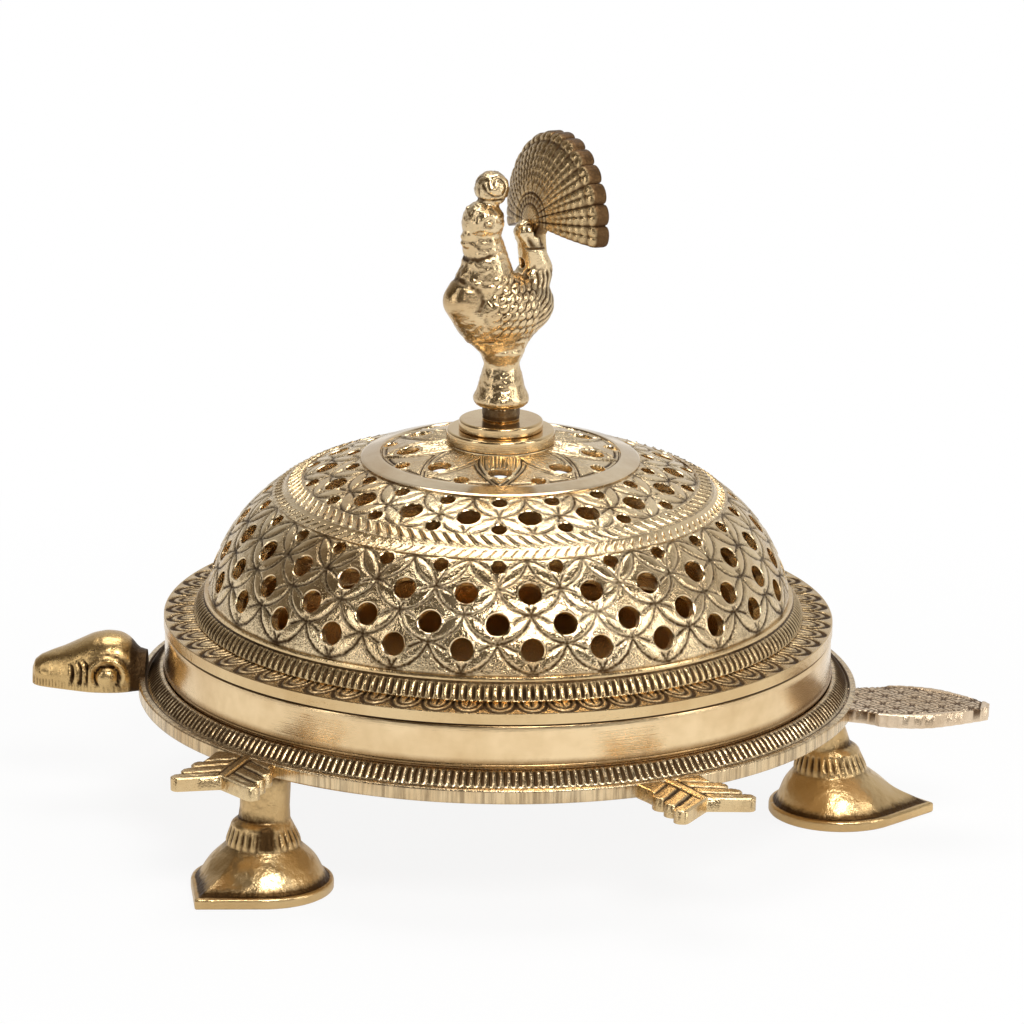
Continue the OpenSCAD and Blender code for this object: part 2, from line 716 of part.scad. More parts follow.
// The fan stands in its own YZ plane, bulging to +X, its root at the origin
module fan_body() {
  lobe_r = fan_r * sin(fan_span / fan_lobes / 2) * 1.7;
  rim_r = fan_r - lobe_r;
  notch_r = fan_r * 0.96;
  first = 90 + fan_roll - fan_span / 2;
  intersection() {
    translate([-fan_dome, 0, 0]) difference() {
      sphere(r = fan_dome);
      sphere(r = fan_dome - fan_t);
    }
    translate([-fan_r, 0, 0]) rotate([90, 0, 90]) linear_extrude(2 * fan_r) union() {
      circle(r = fan_r * 0.2);
      translate([-tang_w / 2, -tang_len]) square([tang_w, tang_len]);
      polygon(concat([[0, -fan_r * 0.08]],
        [for (i = [0:fan_lobes]) let (t = first + fan_span * i / fan_lobes)
          [notch_r * cos(t), notch_r * sin(t)]]));
      for (i = [0:fan_lobes - 1]) let (t = first + fan_span * (i + 0.5) / fan_lobes)
        translate([rim_r * cos(t), rim_r * sin(t)]) circle(r = lobe_r, $fn = 24);
    }
  }
}

module peacock_fan() {
  color(brass) translate([0, 0, bird_z]) rotate([0, 0, bird_turn]) fan_place() difference() {
    fan_body();
    rivet_shank();
    rivet_seat();
  }
}

module fan_rivet() {
  color(bright_brass) translate([0, 0, bird_z]) rotate([0, 0, bird_turn]) fan_place()
    translate([back_x + seat_cut, 0, -rivet_down]) rotate([0, 90, 0]) union() {
      translate([0, 0, -rivet_head_t / 2]) cylinder(r = rivet_r, h = rivet_head_t / 2 + 1.2 * fan_t);
      translate([0, 0, -rivet_head_t]) cylinder(r = rivet_head_r, h = rivet_head_t);
    }
}

// Puts the pan's axis in its place, the middle of the length being at the origin
module placed() { translate([axis_x, 0, 0]) children(); }

placed() base_plate();
placed() tortoise_head();
placed() tortoise_tail();
placed() leg_rear();
placed() leg_front_left();
placed() leg_front_right();
placed() ember_pan();
placed() pan_screw();
placed() pan_washer();
placed() pan_nut();
placed() lid_dome();
placed() collar_lower();
placed() collar_upper();
placed() peacock_body();
placed() peacock_fan();
placed() fan_rivet();
placed() finial_stud();
placed() finial_washer();
placed() finial_nut();
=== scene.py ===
import math

import bmesh
import bpy
import numpy as np
from mathutils import Matrix, Vector, geometry
from mathutils.noise import noise as noise_at


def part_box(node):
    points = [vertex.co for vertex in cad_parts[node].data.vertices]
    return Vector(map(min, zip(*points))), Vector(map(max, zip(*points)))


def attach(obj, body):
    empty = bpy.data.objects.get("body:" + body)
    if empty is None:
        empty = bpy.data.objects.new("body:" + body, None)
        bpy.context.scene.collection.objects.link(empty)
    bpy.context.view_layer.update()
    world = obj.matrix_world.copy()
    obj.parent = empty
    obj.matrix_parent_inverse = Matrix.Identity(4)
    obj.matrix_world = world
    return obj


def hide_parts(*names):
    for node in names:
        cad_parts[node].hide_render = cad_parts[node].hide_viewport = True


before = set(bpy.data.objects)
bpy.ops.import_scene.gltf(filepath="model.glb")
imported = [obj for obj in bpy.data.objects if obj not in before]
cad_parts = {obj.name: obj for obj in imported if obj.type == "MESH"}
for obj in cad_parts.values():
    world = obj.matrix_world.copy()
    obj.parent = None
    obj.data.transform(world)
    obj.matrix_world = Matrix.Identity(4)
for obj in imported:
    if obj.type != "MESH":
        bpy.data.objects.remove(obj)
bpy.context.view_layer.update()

# Base plate ----------------------------------------------------------------------------------
# One sand casting in brass: a round plate, the milled ring of short ribs round its rim and the
# lip that the pan stands inside. Its outer edge is filed by hand, which leaves upright marks.
MM = 0.001
pan_lo, pan_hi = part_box("ember_pan")
pan_axis = Vector(((pan_lo.x + pan_hi.x) / 2, 0, 0))


def cast(name, points, faces, finish, relief):
    """A mesh from points in millimetres about the pan's axis. Relief is 1 where handling keeps the
    metal bright and 0 deep in a hollow; some pieces also lower it for painted shade."""
    mesh = bpy.data.meshes.new(name)
    mesh.from_pydata((np.asarray(points, float) * MM).tolist(), [], [list(f) for f in faces])
    shade = mesh.attributes.new("relief", "FLOAT", "POINT")
    shade.data.foreach_set("value", np.clip(relief, 0, 1).astype(np.float32))
    mesh.materials.append(finish)
    obj = bpy.data.objects.new(name, mesh)
    bpy.context.scene.collection.objects.link(obj)
    return obj


def round_tree():
    """Copies a slice round the Z axis, as the ring patterns of the castings repeat."""
    tree = bpy.data.node_groups.new("Pattern round the axis", "GeometryNodeTree")
    for label, kind in (
        ("Slice", "NodeSocketGeometry"),
        ("Copies", "NodeSocketInt"),
        ("Weld", "NodeSocketFloat"),
        ("Finish", "NodeSocketMaterial"),
    ):
        tree.interface.new_socket(label, in_out="INPUT", socket_type=kind)
    tree.interface.new_socket("Ring", in_out="OUTPUT", socket_type="NodeSocketGeometry")
    new, link = tree.nodes.new, tree.links.new
    given, made = new("NodeGroupInput"), new("NodeGroupOutput")
    points, index = new("GeometryNodePoints"), new("GeometryNodeInputIndex")
    step, angle, turn = new("ShaderNodeMath"), new("ShaderNodeMath"), new("ShaderNodeCombineXYZ")
    place, real = new("GeometryNodeInstanceOnPoints"), new("GeometryNodeRealizeInstances")
    weld, coat = new("GeometryNodeMergeByDistance"), new("GeometryNodeSetMaterial")
    step.operation, angle.operation = "DIVIDE", "MULTIPLY"
    step.inputs[0].default_value = 2 * math.pi
    for output, socket in (
        (given.outputs["Copies"], points.inputs["Count"]),
        (given.outputs["Copies"], step.inputs[1]),
        (index.outputs[0], angle.inputs[0]),
        (step.outputs[0], angle.inputs[1]),
        (angle.outputs[0], turn.inputs["Z"]),
        (points.outputs[0], place.inputs["Points"]),
        (given.outputs["Slice"], place.inputs["Instance"]),
        (turn.outputs[0], place.inputs["Rotation"]),
        (place.outputs[0], real.inputs[0]),
        (real.outputs[0], weld.inputs["Geometry"]),
        (given.outputs["Weld"], weld.inputs["Distance"]),
        (weld.outputs[0], coat.inputs["Geometry"]),
        (given.outputs["Finish"], coat.inputs["Material"]),
        (coat.outputs[0], made.inputs[0]),
    ):
        link(output, socket)
    return tree


round_pattern = round_tree()


def all_round(obj, copies):
    """The slice repeated all the way round and welded into one closed ring, as a plain mesh."""
    modifier = obj.modifiers.new(round_pattern.name, "NODES")
    modifier.node_group = round_pattern
    sizes = {"Copies": copies, "Weld": 0.003 * MM, "Finish": obj.data.materials[0]}
    for socket in round_pattern.interface.items_tree:
        if socket.name in sizes:
            modifier[socket.identifier] = sizes[socket.name]
    graph = bpy.context.evaluated_depsgraph_get()
    mesh = bpy.data.meshes.new_from_object(
        obj.evaluated_get(graph), preserve_all_data_layers=True, depsgraph=graph
    )
    obj.modifiers.clear()
    obj.data = mesh
    return obj


def seat(obj, body, node, crease=42):
    """Puts a piece in its place, smooths it and hands it to its body."""
    mesh = obj.data
    mesh.transform(Matrix.Translation(pan_axis))
    work = bmesh.new()
    work.from_mesh(mesh)
    bmesh.ops.remove_doubles(work, verts=work.verts, dist=0.002 * MM)
    bmesh.ops.recalc_face_normals(work, faces=work.faces)
    work.to_mesh(mesh)
    work.free()
    mesh.shade_smooth()
    if crease:
        mesh.set_sharp_from_angle(angle=math.radians(crease))
    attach(obj, body)
    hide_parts(node)


def quads(rows, columns, closed=False, ring=False):
    """Faces over a grid of points. Closed joins the last row to the first, ring the last column."""
    faces = []
    for i in range(rows if closed else rows - 1):
        for j in range(columns if ring else columns - 1):
            below, beside = (i + 1) % rows, (j + 1) % columns
            corners = (i, j), (i, beside), (below, beside), (below, j)
            faces.append(tuple(row * columns + column for row, column in corners))
    return faces


def polar(r, angle, z):
    """Points at a distance r from the axis, in a direction and at a height."""
    return np.stack(np.broadcast_arrays(r * np.cos(angle), r * np.sin(angle), z), axis=-1).reshape(-1, 3)


def across_slice(copies, columns):
    """The direction of each column of a slice, from one side to the other."""
    return (np.arange(columns) / (columns - 1) - 0.5) * 2 * math.pi / copies


def slice_of(line, copies, height=None):
    """One slice of a closed profile (r, z), its surface raised by height[along][across]."""
    line = np.asarray(line, float)
    lift = np.zeros((len(line), 2)) if height is None else height
    ahead = np.roll(line, -1, axis=0) - np.roll(line, 1, axis=0)
    normal = np.stack([ahead[:, 1], -ahead[:, 0]], axis=1)
    normal /= np.maximum(np.linalg.norm(normal, axis=1), 1e-9)[:, None]
    r = line[:, :1] + normal[:, :1] * lift
    z = line[:, 1:] + normal[:, 1:] * lift
    points = polar(r, across_slice(copies, lift.shape[1]), z)
    return points, quads(*lift.shape, closed=True), (1 + lift / 0.6).ravel()


def ring_of(name, line, copies, finish, height=None, shade=None):
    """A whole ring from its profile. Shade may change the relief, from the points' r and z."""
    points, faces, relief = slice_of(line, copies, height)
    if shade:
        relief = shade(np.hypot(points[:, 0], points[:, 1]), points[:, 2], relief)
    return all_round(cast(name, points, faces, finish, relief), copies)


def between(a, b, n):
    """n points from a up to b, b left out."""
    a, b = np.asarray(a, float), np.asarray(b, float)
    return [tuple(a + (b - a) * i / n) for i in range(n)]


def hump(t, power):
    """0 up to t = 0, 1 midway and 0 again from t = 1 on, steep at both ends."""
    return math.sin(math.pi * min(max(t, 0), 1)) ** power


def node_group(name, inputs, outputs):
    """An empty shader node group with named sockets."""
    tree = bpy.data.node_groups.new(name, "ShaderNodeTree")
    kinds = {"f": "NodeSocketFloat", "c": "NodeSocketColor", "v": "NodeSocketVector"}
    for label, kind, value in inputs:
        made = tree.interface.new_socket(label, in_out="INPUT", socket_type=kinds[kind])
        made.default_value = value
    for label, kind in outputs:
        tree.interface.new_socket(label, in_out="OUTPUT", socket_type=kinds[kind])
    return tree, tree.nodes.new("NodeGroupInput").outputs, tree.nodes.new("NodeGroupOutput").inputs


def feed(tree, socket, value):
    """Links the value to the socket if it comes from another node, or else sets it."""
    if isinstance(value, bpy.types.NodeSocket):
        tree.links.new(value, socket)
    elif value is not None:
        socket.default_value = value


def put(tree, kind, *given, out=0, **settings):
    """A node with its inputs fed in order. Returns its output."""
    node = tree.nodes.new(kind)
    for key, value in settings.items():
        setattr(node, key, value)
    for socket, value in zip(node.inputs, given):
        feed(tree, socket, value)
    return node.outputs[out]


def sums(tree, how, *given):
    """Arithmetic on two values."""
    return put(tree, "ShaderNodeMath", *given, operation=how)


def graded(tree, value, *ends, soft=True):
    """The value brought from the range ends[0] to ends[1] into ends[2] to ends[3]."""
    return put(
        tree, "ShaderNodeMapRange", value, *ends, interpolation_type="SMOOTHSTEP" if soft else "LINEAR"
    )


def blended(tree, share, a, b):
    """Colour a turned to colour b by share."""
    node = tree.nodes.new("ShaderNodeMix")
    node.data_type = "RGBA"
    for k, value in ((0, share), (6, a), (7, b)):
        feed(tree, node.inputs[k], value)
    return node.outputs[2]


def noise(tree, where, scale, detail=3.0, rough=0.6):
    """A cloudy value from 0 to 1."""
    node = tree.nodes.new("ShaderNodeTexNoise")
    for label, value in (("Vector", where), ("Scale", scale), ("Detail", detail), ("Roughness", rough)):
        feed(tree, node.inputs[label], value)
    return node.outputs[0]


def bumped(tree, height, distance):
    """The surface's normal, bent by a height."""
    bump = tree.nodes.new("ShaderNodeBump")
    bump.inputs["Distance"].default_value = distance
    tree.links.new(height, bump.inputs["Height"])
    return bump.outputs[0]


# Patina: brown oxide stays in the hollows, and handling keeps the high parts bright. Where a piece
# lowers its relief for painted shade, the same stain paints that shade.
patina, have, give = node_group(
    "Patina in the hollows",
    [
        ("Clean", "c", (0.8, 0.6, 0.3, 1)),
        ("Stain", "c", (0.1, 0.05, 0.02, 1)),
        ("Reach", "f", 1.0),
        ("Blotches", "f", 0.3),
        ("Clean Roughness", "f", 0.2),
        ("Stain Roughness", "f", 0.5),
    ],
    [("Colour", "c"), ("Roughness", "f")],
)
aged_brass = (0.5, 0.295, 0.105, 1)
at = put(patina, "ShaderNodeTexCoord", out=3)
high = put(patina, "ShaderNodeAttribute", out=2, attribute_name="relief")
low = sums(patina, "SUBTRACT", 1.0, high)
coarse = sums(patina, "SUBTRACT", noise(patina, at, 55.0, 4.0, 0.65), 0.5)
fine = sums(patina, "SUBTRACT", noise(patina, at, 620.0, 3.0, 0.7), 0.5)
spots = sums(patina, "ADD", sums(patina, "MULTIPLY", coarse, 1.4), fine)
in_hollows = sums(patina, "MULTIPLY", low, have["Reach"])
in_spots = sums(patina, "MULTIPLY", spots, have["Blotches"])
stained = graded(patina, sums(patina, "ADD", in_hollows, in_spots), 0.12, 0.95, 0.0, 1.0)
aged = graded(patina, noise(patina, at, 38.0, 4.0, 0.6), 0.4, 0.72, 0.0, 0.62, soft=False)
tone = blended(patina, aged, have["Clean"], aged_brass)
patina.links.new(blended(patina, stained, tone, have["Stain"]), give["Colour"])
spread = sums(patina, "SUBTRACT", have["Stain Roughness"], have["Clean Roughness"])
rough = sums(patina, "ADD", have["Clean Roughness"], sums(patina, "MULTIPLY", stained, spread))
rough = sums(patina, "ADD", rough, sums(patina, "MULTIPLY", fine, 0.12))
patina.links.new(rough, give["Roughness"])

# Cast grain: the pitted skin that sand leaves, rougher in the hollows.
grain, have, give = node_group(
    "Cast grain",
    [("Size", "f", 900.0), ("Depth", "f", 0.3), ("Hollows", "f", 0.5), ("Dents", "f", 0.2)],
    [("Normal", "v")],
)
at = put(grain, "ShaderNodeTexCoord", out=3)
high = put(grain, "ShaderNodeAttribute", out=2, attribute_name="relief")
pits = noise(grain, at, have["Size"], 3.0, 0.75)
low = sums(grain, "SUBTRACT", 1.0, high)
depth = sums(grain, "ADD", have["Depth"], sums(grain, "MULTIPLY", low, have["Hollows"]))
pitted = sums(grain, "MULTIPLY", pits, depth)
dented = sums(grain, "MULTIPLY", noise(grain, at, 160.0, 2.0), have["Dents"])
grain.links.new(bumped(grain, sums(grain, "ADD", pitted, dented), 0.0006), give["Normal"])

# Tool marks: fine scratches, drawn out where Stretch is small and packed where it is large.
marks, have, give = node_group(
    "Tool marks",
    [("Stretch", "v", (1, 1, 60)), ("Size", "f", 60.0), ("Depth", "f", 0.2)],
    [("Normal", "v"), ("Scratch", "f")],
)
at = put(marks, "ShaderNodeTexCoord", out=3)
drawn = put(marks, "ShaderNodeVectorMath", at, have["Stretch"], operation="MULTIPLY")
lines = noise(marks, drawn, have["Size"], 4.0, 0.7)
marks.links.new(bumped(marks, sums(marks, "MULTIPLY", lines, have["Depth"]), 0.0004), give["Normal"])
marks.links.new(lines, give["Scratch"])


def placed(tree, group, **values):
    """A node group put in a material, with its own values."""
    node = tree.nodes.new("ShaderNodeGroup")
    node.node_tree = group
    for label, value in values.items():
        node.inputs[label.replace("_", " ").title()].default_value = value
    return node.outputs


def metal(name, clean, stain, roughness, skin, reach=1.0, blotches=0.3, streaks=0.0, **skin_values):
    """A metal finish: patina colours over one of the two skins, cast grain or tool marks."""
    mat = bpy.data.materials.new(name)
    mat.use_nodes = True
    tree = mat.node_tree
    shader = tree.nodes["Principled BSDF"].inputs
    shader["Metallic"].default_value = 1.0
    colours = {"clean": (*clean, 1), "stain": (*stain, 1), "reach": reach, "blotches": blotches}
    coat = placed(tree, patina, clean_roughness=roughness[0], stain_roughness=roughness[1], **colours)
    surface = placed(tree, skin, **skin_values)
    colour = coat["Colour"]
    if streaks:
        dark = graded(tree, surface["Scratch"], 0.45, 0.62, 0.0, streaks, soft=False)
        colour = blended(tree, dark, colour, (*stain, 1))
    tree.links.new(colour, shader["Base Color"])
    tree.links.new(coat["Roughness"], shader["Roughness"])
    tree.links.new(surface["Normal"], shader["Normal"])
    return mat


# Dark brown oxide for the hollows. On the head's neck and the flange's seat it also serves as painted shade.
oxide_and_shade = (0.075, 0.042, 0.018)
plate_finish = metal(
    "Plate brass", (0.81, 0.63, 0.39), oxide_and_shade, (0.26, 0.5), marks,
    reach=1.35, blotches=0.6, streaks=0.5, stretch=(1.0, 1.0, 0.06), size=480.0, depth=0.85,
)
plate_r, plate_low, plate_top, lip_top, bolt_hole_r = 103.0, 34.5, 38.6, 42.2, 3.25
ribs, rib_steps, rib_deep = 300, 12, 0.78
rib_across = np.array([1, 0.85, 0.16, 0, 0.16, 0.85, 1])
slope_in, slope_out = (96.7, 42.15), (100.3, 38.5)
lip = [(95.6, plate_top), (95.8, plate_top + 0.3), (95.8, lip_top - 0.2), (96.0, lip_top), (96.3, lip_top)]
gutter = [(100.5, 37.95), (100.9, 37.85), (101.2, 38.1), (101.35, 38.5), (101.6, plate_top)]
plate_line = [(bolt_hole_r, plate_low), (bolt_hole_r, plate_top), (60.0, plate_top)] + lip
plate_line += between(slope_in, slope_out, rib_steps) + [slope_out] + gutter
plate_line += [(102.4, plate_top), (102.75, 38.5), (102.95, 38.25)]
plate_line += between((plate_r, 38.0), (plate_r, 35.1), 4)
plate_line += [(plate_r, 35.0), (102.8, 34.65), (102.5, plate_low), (60.0, plate_low)]
first = plate_line.index(slope_in)
height = np.zeros((len(plate_line), len(rib_across)))
for k in range(rib_steps + 1):
    fade = hump((k / rib_steps - 0.04) / 0.92, 0.45)
    height[first + k] = fade * (0.12 - rib_deep * rib_across)
height[first + rib_steps + 1 : first + rib_steps + 5] = -0.35
plate = ring_of(
    "base_plate_casting", plate_line, ribs, plate_finish, height,
    lambda r, z, relief: np.where(relief < 0.98, (relief - 0.22).clip(0, 1), relief),
)
seat(plate, "base", "base_plate")

# Paws ----------------------------------------------------------------------------------------
# Four flat paws cast in one with the plate. Each has a raised band down its middle, chased
# grooves that part three round toes on either side of it, and a V notch at its tip.
paw_finish = metal(
    "Paw brass", (0.76, 0.575, 0.32), oxide_and_shade, (0.26, 0.5), grain,
    reach=1.35, blotches=0.5, size=560.0, depth=0.35, dents=0.3,
)
paw_half = [
    (-2.7, 0), (-2.7, 5), (-2.6, 10.8), (3.5, 11.0), (7.2, 11.2), (8.6, 12.6), (10.2, 13.3),
    (12.0, 13.2), (13.4, 12.1), (14.0, 11.2), (14.8, 12.4), (16.2, 13.7), (18.0, 13.9),
    (19.6, 13.0), (20.3, 11.7), (21.0, 13.0), (22.4, 14.5), (24.2, 14.7), (25.6, 13.6),
    (26.0, 12.0), (25.2, 10.2), (23.6, 7.4), (21.8, 4.2), (20.2, 1.3), (19.6, 0),
]
paw_size = (0.962, 0.888)
# Each groove's ends, width and depth
paw_grooves = (
    ((-2, 1.8), (17.7, 1.4), 0.42, 0.8),
    ((7.6, 2.0), (13.4, 10.0), 0.5, 0.85),
    ((13.6, 1.8), (19.5, 10.3), 0.5, 0.85),
    ((2.2, 2.2), (7.6, 9.6), 0.4, 0.6),
    ((17.6, 3.2), (22.0, 9.6), 0.3, 0.3),
)


def whole_outline(half, steps):
    """A closed smooth outline from the points of its left half, from root to tip."""
    half = np.asarray(half, float)
    p = np.vstack([half[:-1], half[:0:-1] * (1, -1)])
    out = []
    for a, b, c, d in zip(np.roll(p, 1, 0), p, np.roll(p, -1, 0), np.roll(p, -2, 0)):
        for t in np.arange(steps) / steps:
            bend = (2 * a - 5 * b + 4 * c - d) * t * t + (3 * b - a - 3 * c + d) * t**3
            out.append(0.5 * (2 * b + (c - a) * t + bend))
    return np.array(out)


def line_gap(x, y, a, b):
    """Distance from the straight line that ends at a and b."""
    d = np.subtract(b, a)
    t = np.clip(((x - a[0]) * d[0] + (y - a[1]) * d[1]) / max(d @ d, 1e-12), 0, 1)
    return np.hypot(x - a[0] - t * d[0], y - a[1] - t * d[1])


def from_edge(points, path):
    """Distance of each point from a closed path, and whether it lies inside."""
    near, inside = np.full(len(points), 1e9), np.zeros(len(points), bool)
    x, y = points[:, 0], points[:, 1]
    for a, b in zip(path, np.roll(path, -1, 0)):
        near = np.minimum(near, line_gap(x, y, a, b))
        if a[1] != b[1]:
            crossing = (b[0] - a[0]) * (y - a[1]) / (b[1] - a[1]) + a[0]
            inside ^= ((a[1] > y) != (b[1] > y)) & (x < crossing)
    return near, inside


def filled(points, rim):
    """Triangles over the points, inside the closed rim that the first of them make."""
    edges = [(i, (i + 1) % rim) for i in range(rim)]
    got = geometry.delaunay_2d_cdt([Vector(p) for p in points], edges, [list(range(rim))], 1, 1e-6)
    return np.array([tuple(p) for p in got[0]]), [tuple(f) for f in got[2]]


def staggered(path, spacing):
    """Rows of points over a closed path's box, each row set half a space on from the last."""
    low, high = path.min(axis=0), path.max(axis=0)
    rise = spacing * 0.87
    rows = []
    for j in range(int((high[1] - low[1]) / rise) + 1):
        x = np.arange(low[0] + spacing * (0.25 + 0.5 * (j % 2)), high[0], spacing)
        rows.append(np.stack([x, np.full_like(x, low[1] + (j + 0.5) * rise)], axis=1))
    return np.vstack(rows)


def plaque(path, height, thick, spacing, soft=0.7):
    """A flat casting with a closed outline: chased top, filed upright edge and flat underside."""
    n = len(path)
    grid = staggered(path, spacing)
    near, inside = from_edge(grid, path)
    flat, top_faces = filled(np.vstack([path, grid[inside & (near > spacing * 0.45)]]), n)
    near, _ = from_edge(flat, path)
    lift = height(flat[:, 0], flat[:, 1])
    edge = np.clip(1 - near / soft, 0, 1)
    top = thick + lift - 0.55 * soft * (1 - np.sqrt(1 - edge**2))
    sole = path * 0.995 + flat.mean(axis=0) * 0.005
    points = np.vstack([np.column_stack([flat, top]), np.column_stack([sole, np.zeros(n)])])
    under = len(flat)
    faces = top_faces + [tuple(under + i for i in reversed(f)) for f in filled(sole, n)[1]]
    faces += [(i, under + i, under + (i + 1) % n, (i + 1) % n) for i in range(n)]
    relief = np.concatenate([1 + (lift - 0.1 * edge) / 0.6, np.full(n, 0.85)])
    return points, faces, relief


def ridge(distance, width, rise):
    """A raised line: its height at a distance from its middle."""
    return rise * np.exp(-((distance / width) ** 2))


def cut(distance, width, depth):
    """A chased line: its depth at a distance from its middle."""
    return -ridge(distance, width, depth)


def turned(x, y, angle):
    """A point turned about the axis."""
    return x * np.cos(angle) - y * np.sin(angle), x * np.sin(angle) + y * np.cos(angle)


def paw_height(u, v):
    """The raised band and the grooves, u out from the plate and v across."""
    v = np.abs(v)
    h = 0.15 * (v < 1.2)
    for a, b, width, depth in paw_grooves:
        h = h + cut(line_gap(u, v, a, b), width, depth)
    return np.maximum(h, -0.95)


paw_path = whole_outline(np.array(paw_half) * paw_size, 3)
paw_points, paw_faces, paw_relief = plaque(paw_path, paw_height, plate_top - plate_low - 0.2, 0.55)
all_paws, faces = [], []
for side in (1, -1):
    for where, lean in ((127.4, 105.0), (57.2, 52.5)):
        x, y = turned(paw_points[:, 0], paw_points[:, 1], math.radians(side * lean))
        root = turned(plate_r, 0, math.radians(side * where))
        faces += [tuple(i + len(all_paws) * len(paw_points) for i in f) for f in paw_faces]
        all_paws.append(np.stack([x + root[0], y + root[1], paw_points[:, 2] + plate_low + 0.1], axis=1))
paws = cast("base_plate_paws", np.vstack(all_paws), faces, paw_finish, np.tile(paw_relief, 4))
seat(paws, "base", "base_plate", crease=50)

# Head ----------------------------------------------------------------------------------------
# A solid casting with a flat filed underside, brazed to the plate's edge. Its round eyes bulge
# under a chased brow, three crescents are cut in each cheek, and the jaw keeps its file marks.
head_finish = metal(
    "Head brass", (0.66, 0.46, 0.21), oxide_and_shade, (0.28, 0.48), grain,
    reach=1.3, blotches=0.8, size=620.0, depth=0.26, dents=0.8,
)
head_long, head_rings, head_around, head_under = 30.88, 88, 72, 16
# Distance from the plate, height and half width
head_form = (
    (0.0, 10.0, 7.2), (2.5, 13.6, 9.0), (5.5, 15.2, 10.1), (9.5, 15.5, 10.5), (13.5, 14.6, 10.3),
    (17.5, 12.7, 9.1), (21.5, 10.8, 7.7), (25.5, 9.3, 6.3), (28.5, 8.0, 5.0), (30.2, 6.6, 3.4),
    (30.9, 4.4, 1.5),
)
eye_x, eye_z, eye_r = 8.7, 4.6, 3.1
# Each crescent's place, lower and upper end
crescents = ((18.9, 1.8, 8.0), (16.4, 1.6, 9.0), (14.5, 2.0, 9.6))


def ramp(value, low, high):
    """0 at low, 1 at high, straight between and level past both."""
    return np.clip((value - low) / (high - low), 0, 1)


def wave(value, pitch):
    """Runs from 0 to 1 and back over each pitch."""
    return 0.5 - 0.5 * np.cos(2 * math.pi * value / pitch)


def head_relief(x, y, z):
    """Eye, brow, cheek cuts, nostril and file marks, alike on both sides."""
    to_eye = np.hypot(x - eye_x, (z - eye_z) * 1.05)
    lift = 1.5 * np.sqrt(np.clip(1 - (to_eye / eye_r) ** 2, 0, 1))
    lift += cut(to_eye - 3.6, 0.45, 1.0) * ramp(z, 1.6, 3.1)
    lift += ridge(to_eye - 5.0, 0.85, 0.9) * ramp(z, 2.4, 4.4)
    lift += cut(to_eye - 6.5, 0.5, 0.5) * ramp(z, 5, 7)
    for place, low_end, high_end in crescents:
        bow = x - place - 0.8 * ((z - 5.0) / 3.6) ** 2
        ends = ramp(z, low_end, low_end + 0.8) * ramp(z, high_end, high_end - 1.2)
        lift += (cut(bow, 0.5, 1.1) + ridge(bow - 0.9, 0.5, 0.18)) * ends
    nostril = np.hypot((x - 27.2) / 1.6, (z - 4.8) / 0.6)
    lift += cut(nostril, 0.8, 0.35)
    lift -= 0.3 * (1 - wave(x, 0.95)) * ramp(z, 3.2, 2.2) * (x > 3)
    return lift * (np.abs(y) > 2.2) * (z > 0.15)


x = np.sin(np.linspace(0, math.pi / 2, head_rings - 1)) ** 0.9
x = np.concatenate([[-2.0], head_long * x])
along, tops, sides = np.transpose(head_form)
outline = np.stack([np.interp(x, along, tops), np.interp(x, along, sides)])
for _ in range(4):
    outline[:, 1:-1] = (outline[:, :-2] + 2 * outline[:, 1:-1] + outline[:, 2:]) / 4
top, wide = outline[:, :, None]
turn = np.linspace(0, math.pi, head_around - head_under)
head = np.zeros((head_rings, head_around, 3))
head[..., 0] = x[:, None]
head[:, : len(turn), 1] = wide * np.sign(np.cos(turn)) * np.abs(np.cos(turn)) ** 0.85
head[:, : len(turn), 2] = 0.5 + (top - 0.5) * np.sin(turn) ** 0.9
head[:, len(turn) :, 1] = wide * np.linspace(-0.96, 0.96, head_under)
ahead = np.gradient(head, axis=0)
beside = np.roll(head, -1, 1) - np.roll(head, 1, 1)
normal = np.cross(beside, ahead)
normal /= np.maximum(np.linalg.norm(normal, axis=2), 1e-9)[..., None]
lift = head_relief(*np.moveaxis(head, 2, 0))
lift[:, len(turn) :] = 0
# From 3.2 mm out to the plate the head is painted darker: a painted shadow in the gap between head and
# plate. The rest is patina in the hollows.
shade = 1 + np.minimum(lift, 0) / 0.7 - 1.3 * ramp(head[..., 0], 3.2, 0.8)
head += normal * lift[..., None]
px, py = turned(plate_r + head[..., 0], head[..., 1], math.radians(180 + 3))
pz = plate_low + np.clip(head[..., 2], 0.02, 15.5)
nose, neck_end = range((head_rings - 1) * head_around, head_rings * head_around), range(head_around)
faces = quads(head_rings, head_around, ring=True) + [tuple(neck_end), tuple(nose)[::-1]]
points = np.stack([px, py, pz], axis=2).reshape(-1, 3)
skull = cast("tortoise_head_casting", points, faces, head_finish, shade.ravel())
seat(skull, "base", "tortoise_head", crease=60)

# Tail ----------------------------------------------------------------------------------------
# A flat cast leaf brazed to the plate's edge. Its top is chased with interlaced scales, each
# round an eyelet, and its filed edge is nicked into small scallops towards the square tip.
tail_finish = metal(
    "Tail brass", (0.86, 0.69, 0.5), (0.13, 0.08, 0.045), (0.32, 0.5), grain,
    reach=1.0, blotches=0.3, size=640.0, depth=0.15, dents=0.2,
)
tail_half = [
    (-2.6, 0), (-2.6, 6.5), (-2.4, 10.2), (4.5, 11.8), (9.6, 14.2), (17.3, 14.2), (23.9, 12.4),
    (30.8, 8.1), (35.8, 4.4), (38.3, 2.3), (38.4, 0),
]
tail_middle, tail_thick = (14, 0), 3.9
scale_long, scale_wide, nick_every, nick_deep = 8.4, 7.4, 3.1, 0.32
tail_path = whole_outline(tail_half, 9)
run = np.cumsum(np.hypot(*(tail_path - np.roll(tail_path, 1, 0)).T))
nick = nick_deep * np.abs(np.cos(math.pi * run / nick_every)) ** 3 * ramp(tail_path[:, 0], 3, 7)
inward = (nick / np.maximum(np.hypot(*(tail_path - tail_middle).T), 3))[:, None]
tail_path = tail_path * (1 - inward) + tail_middle * inward


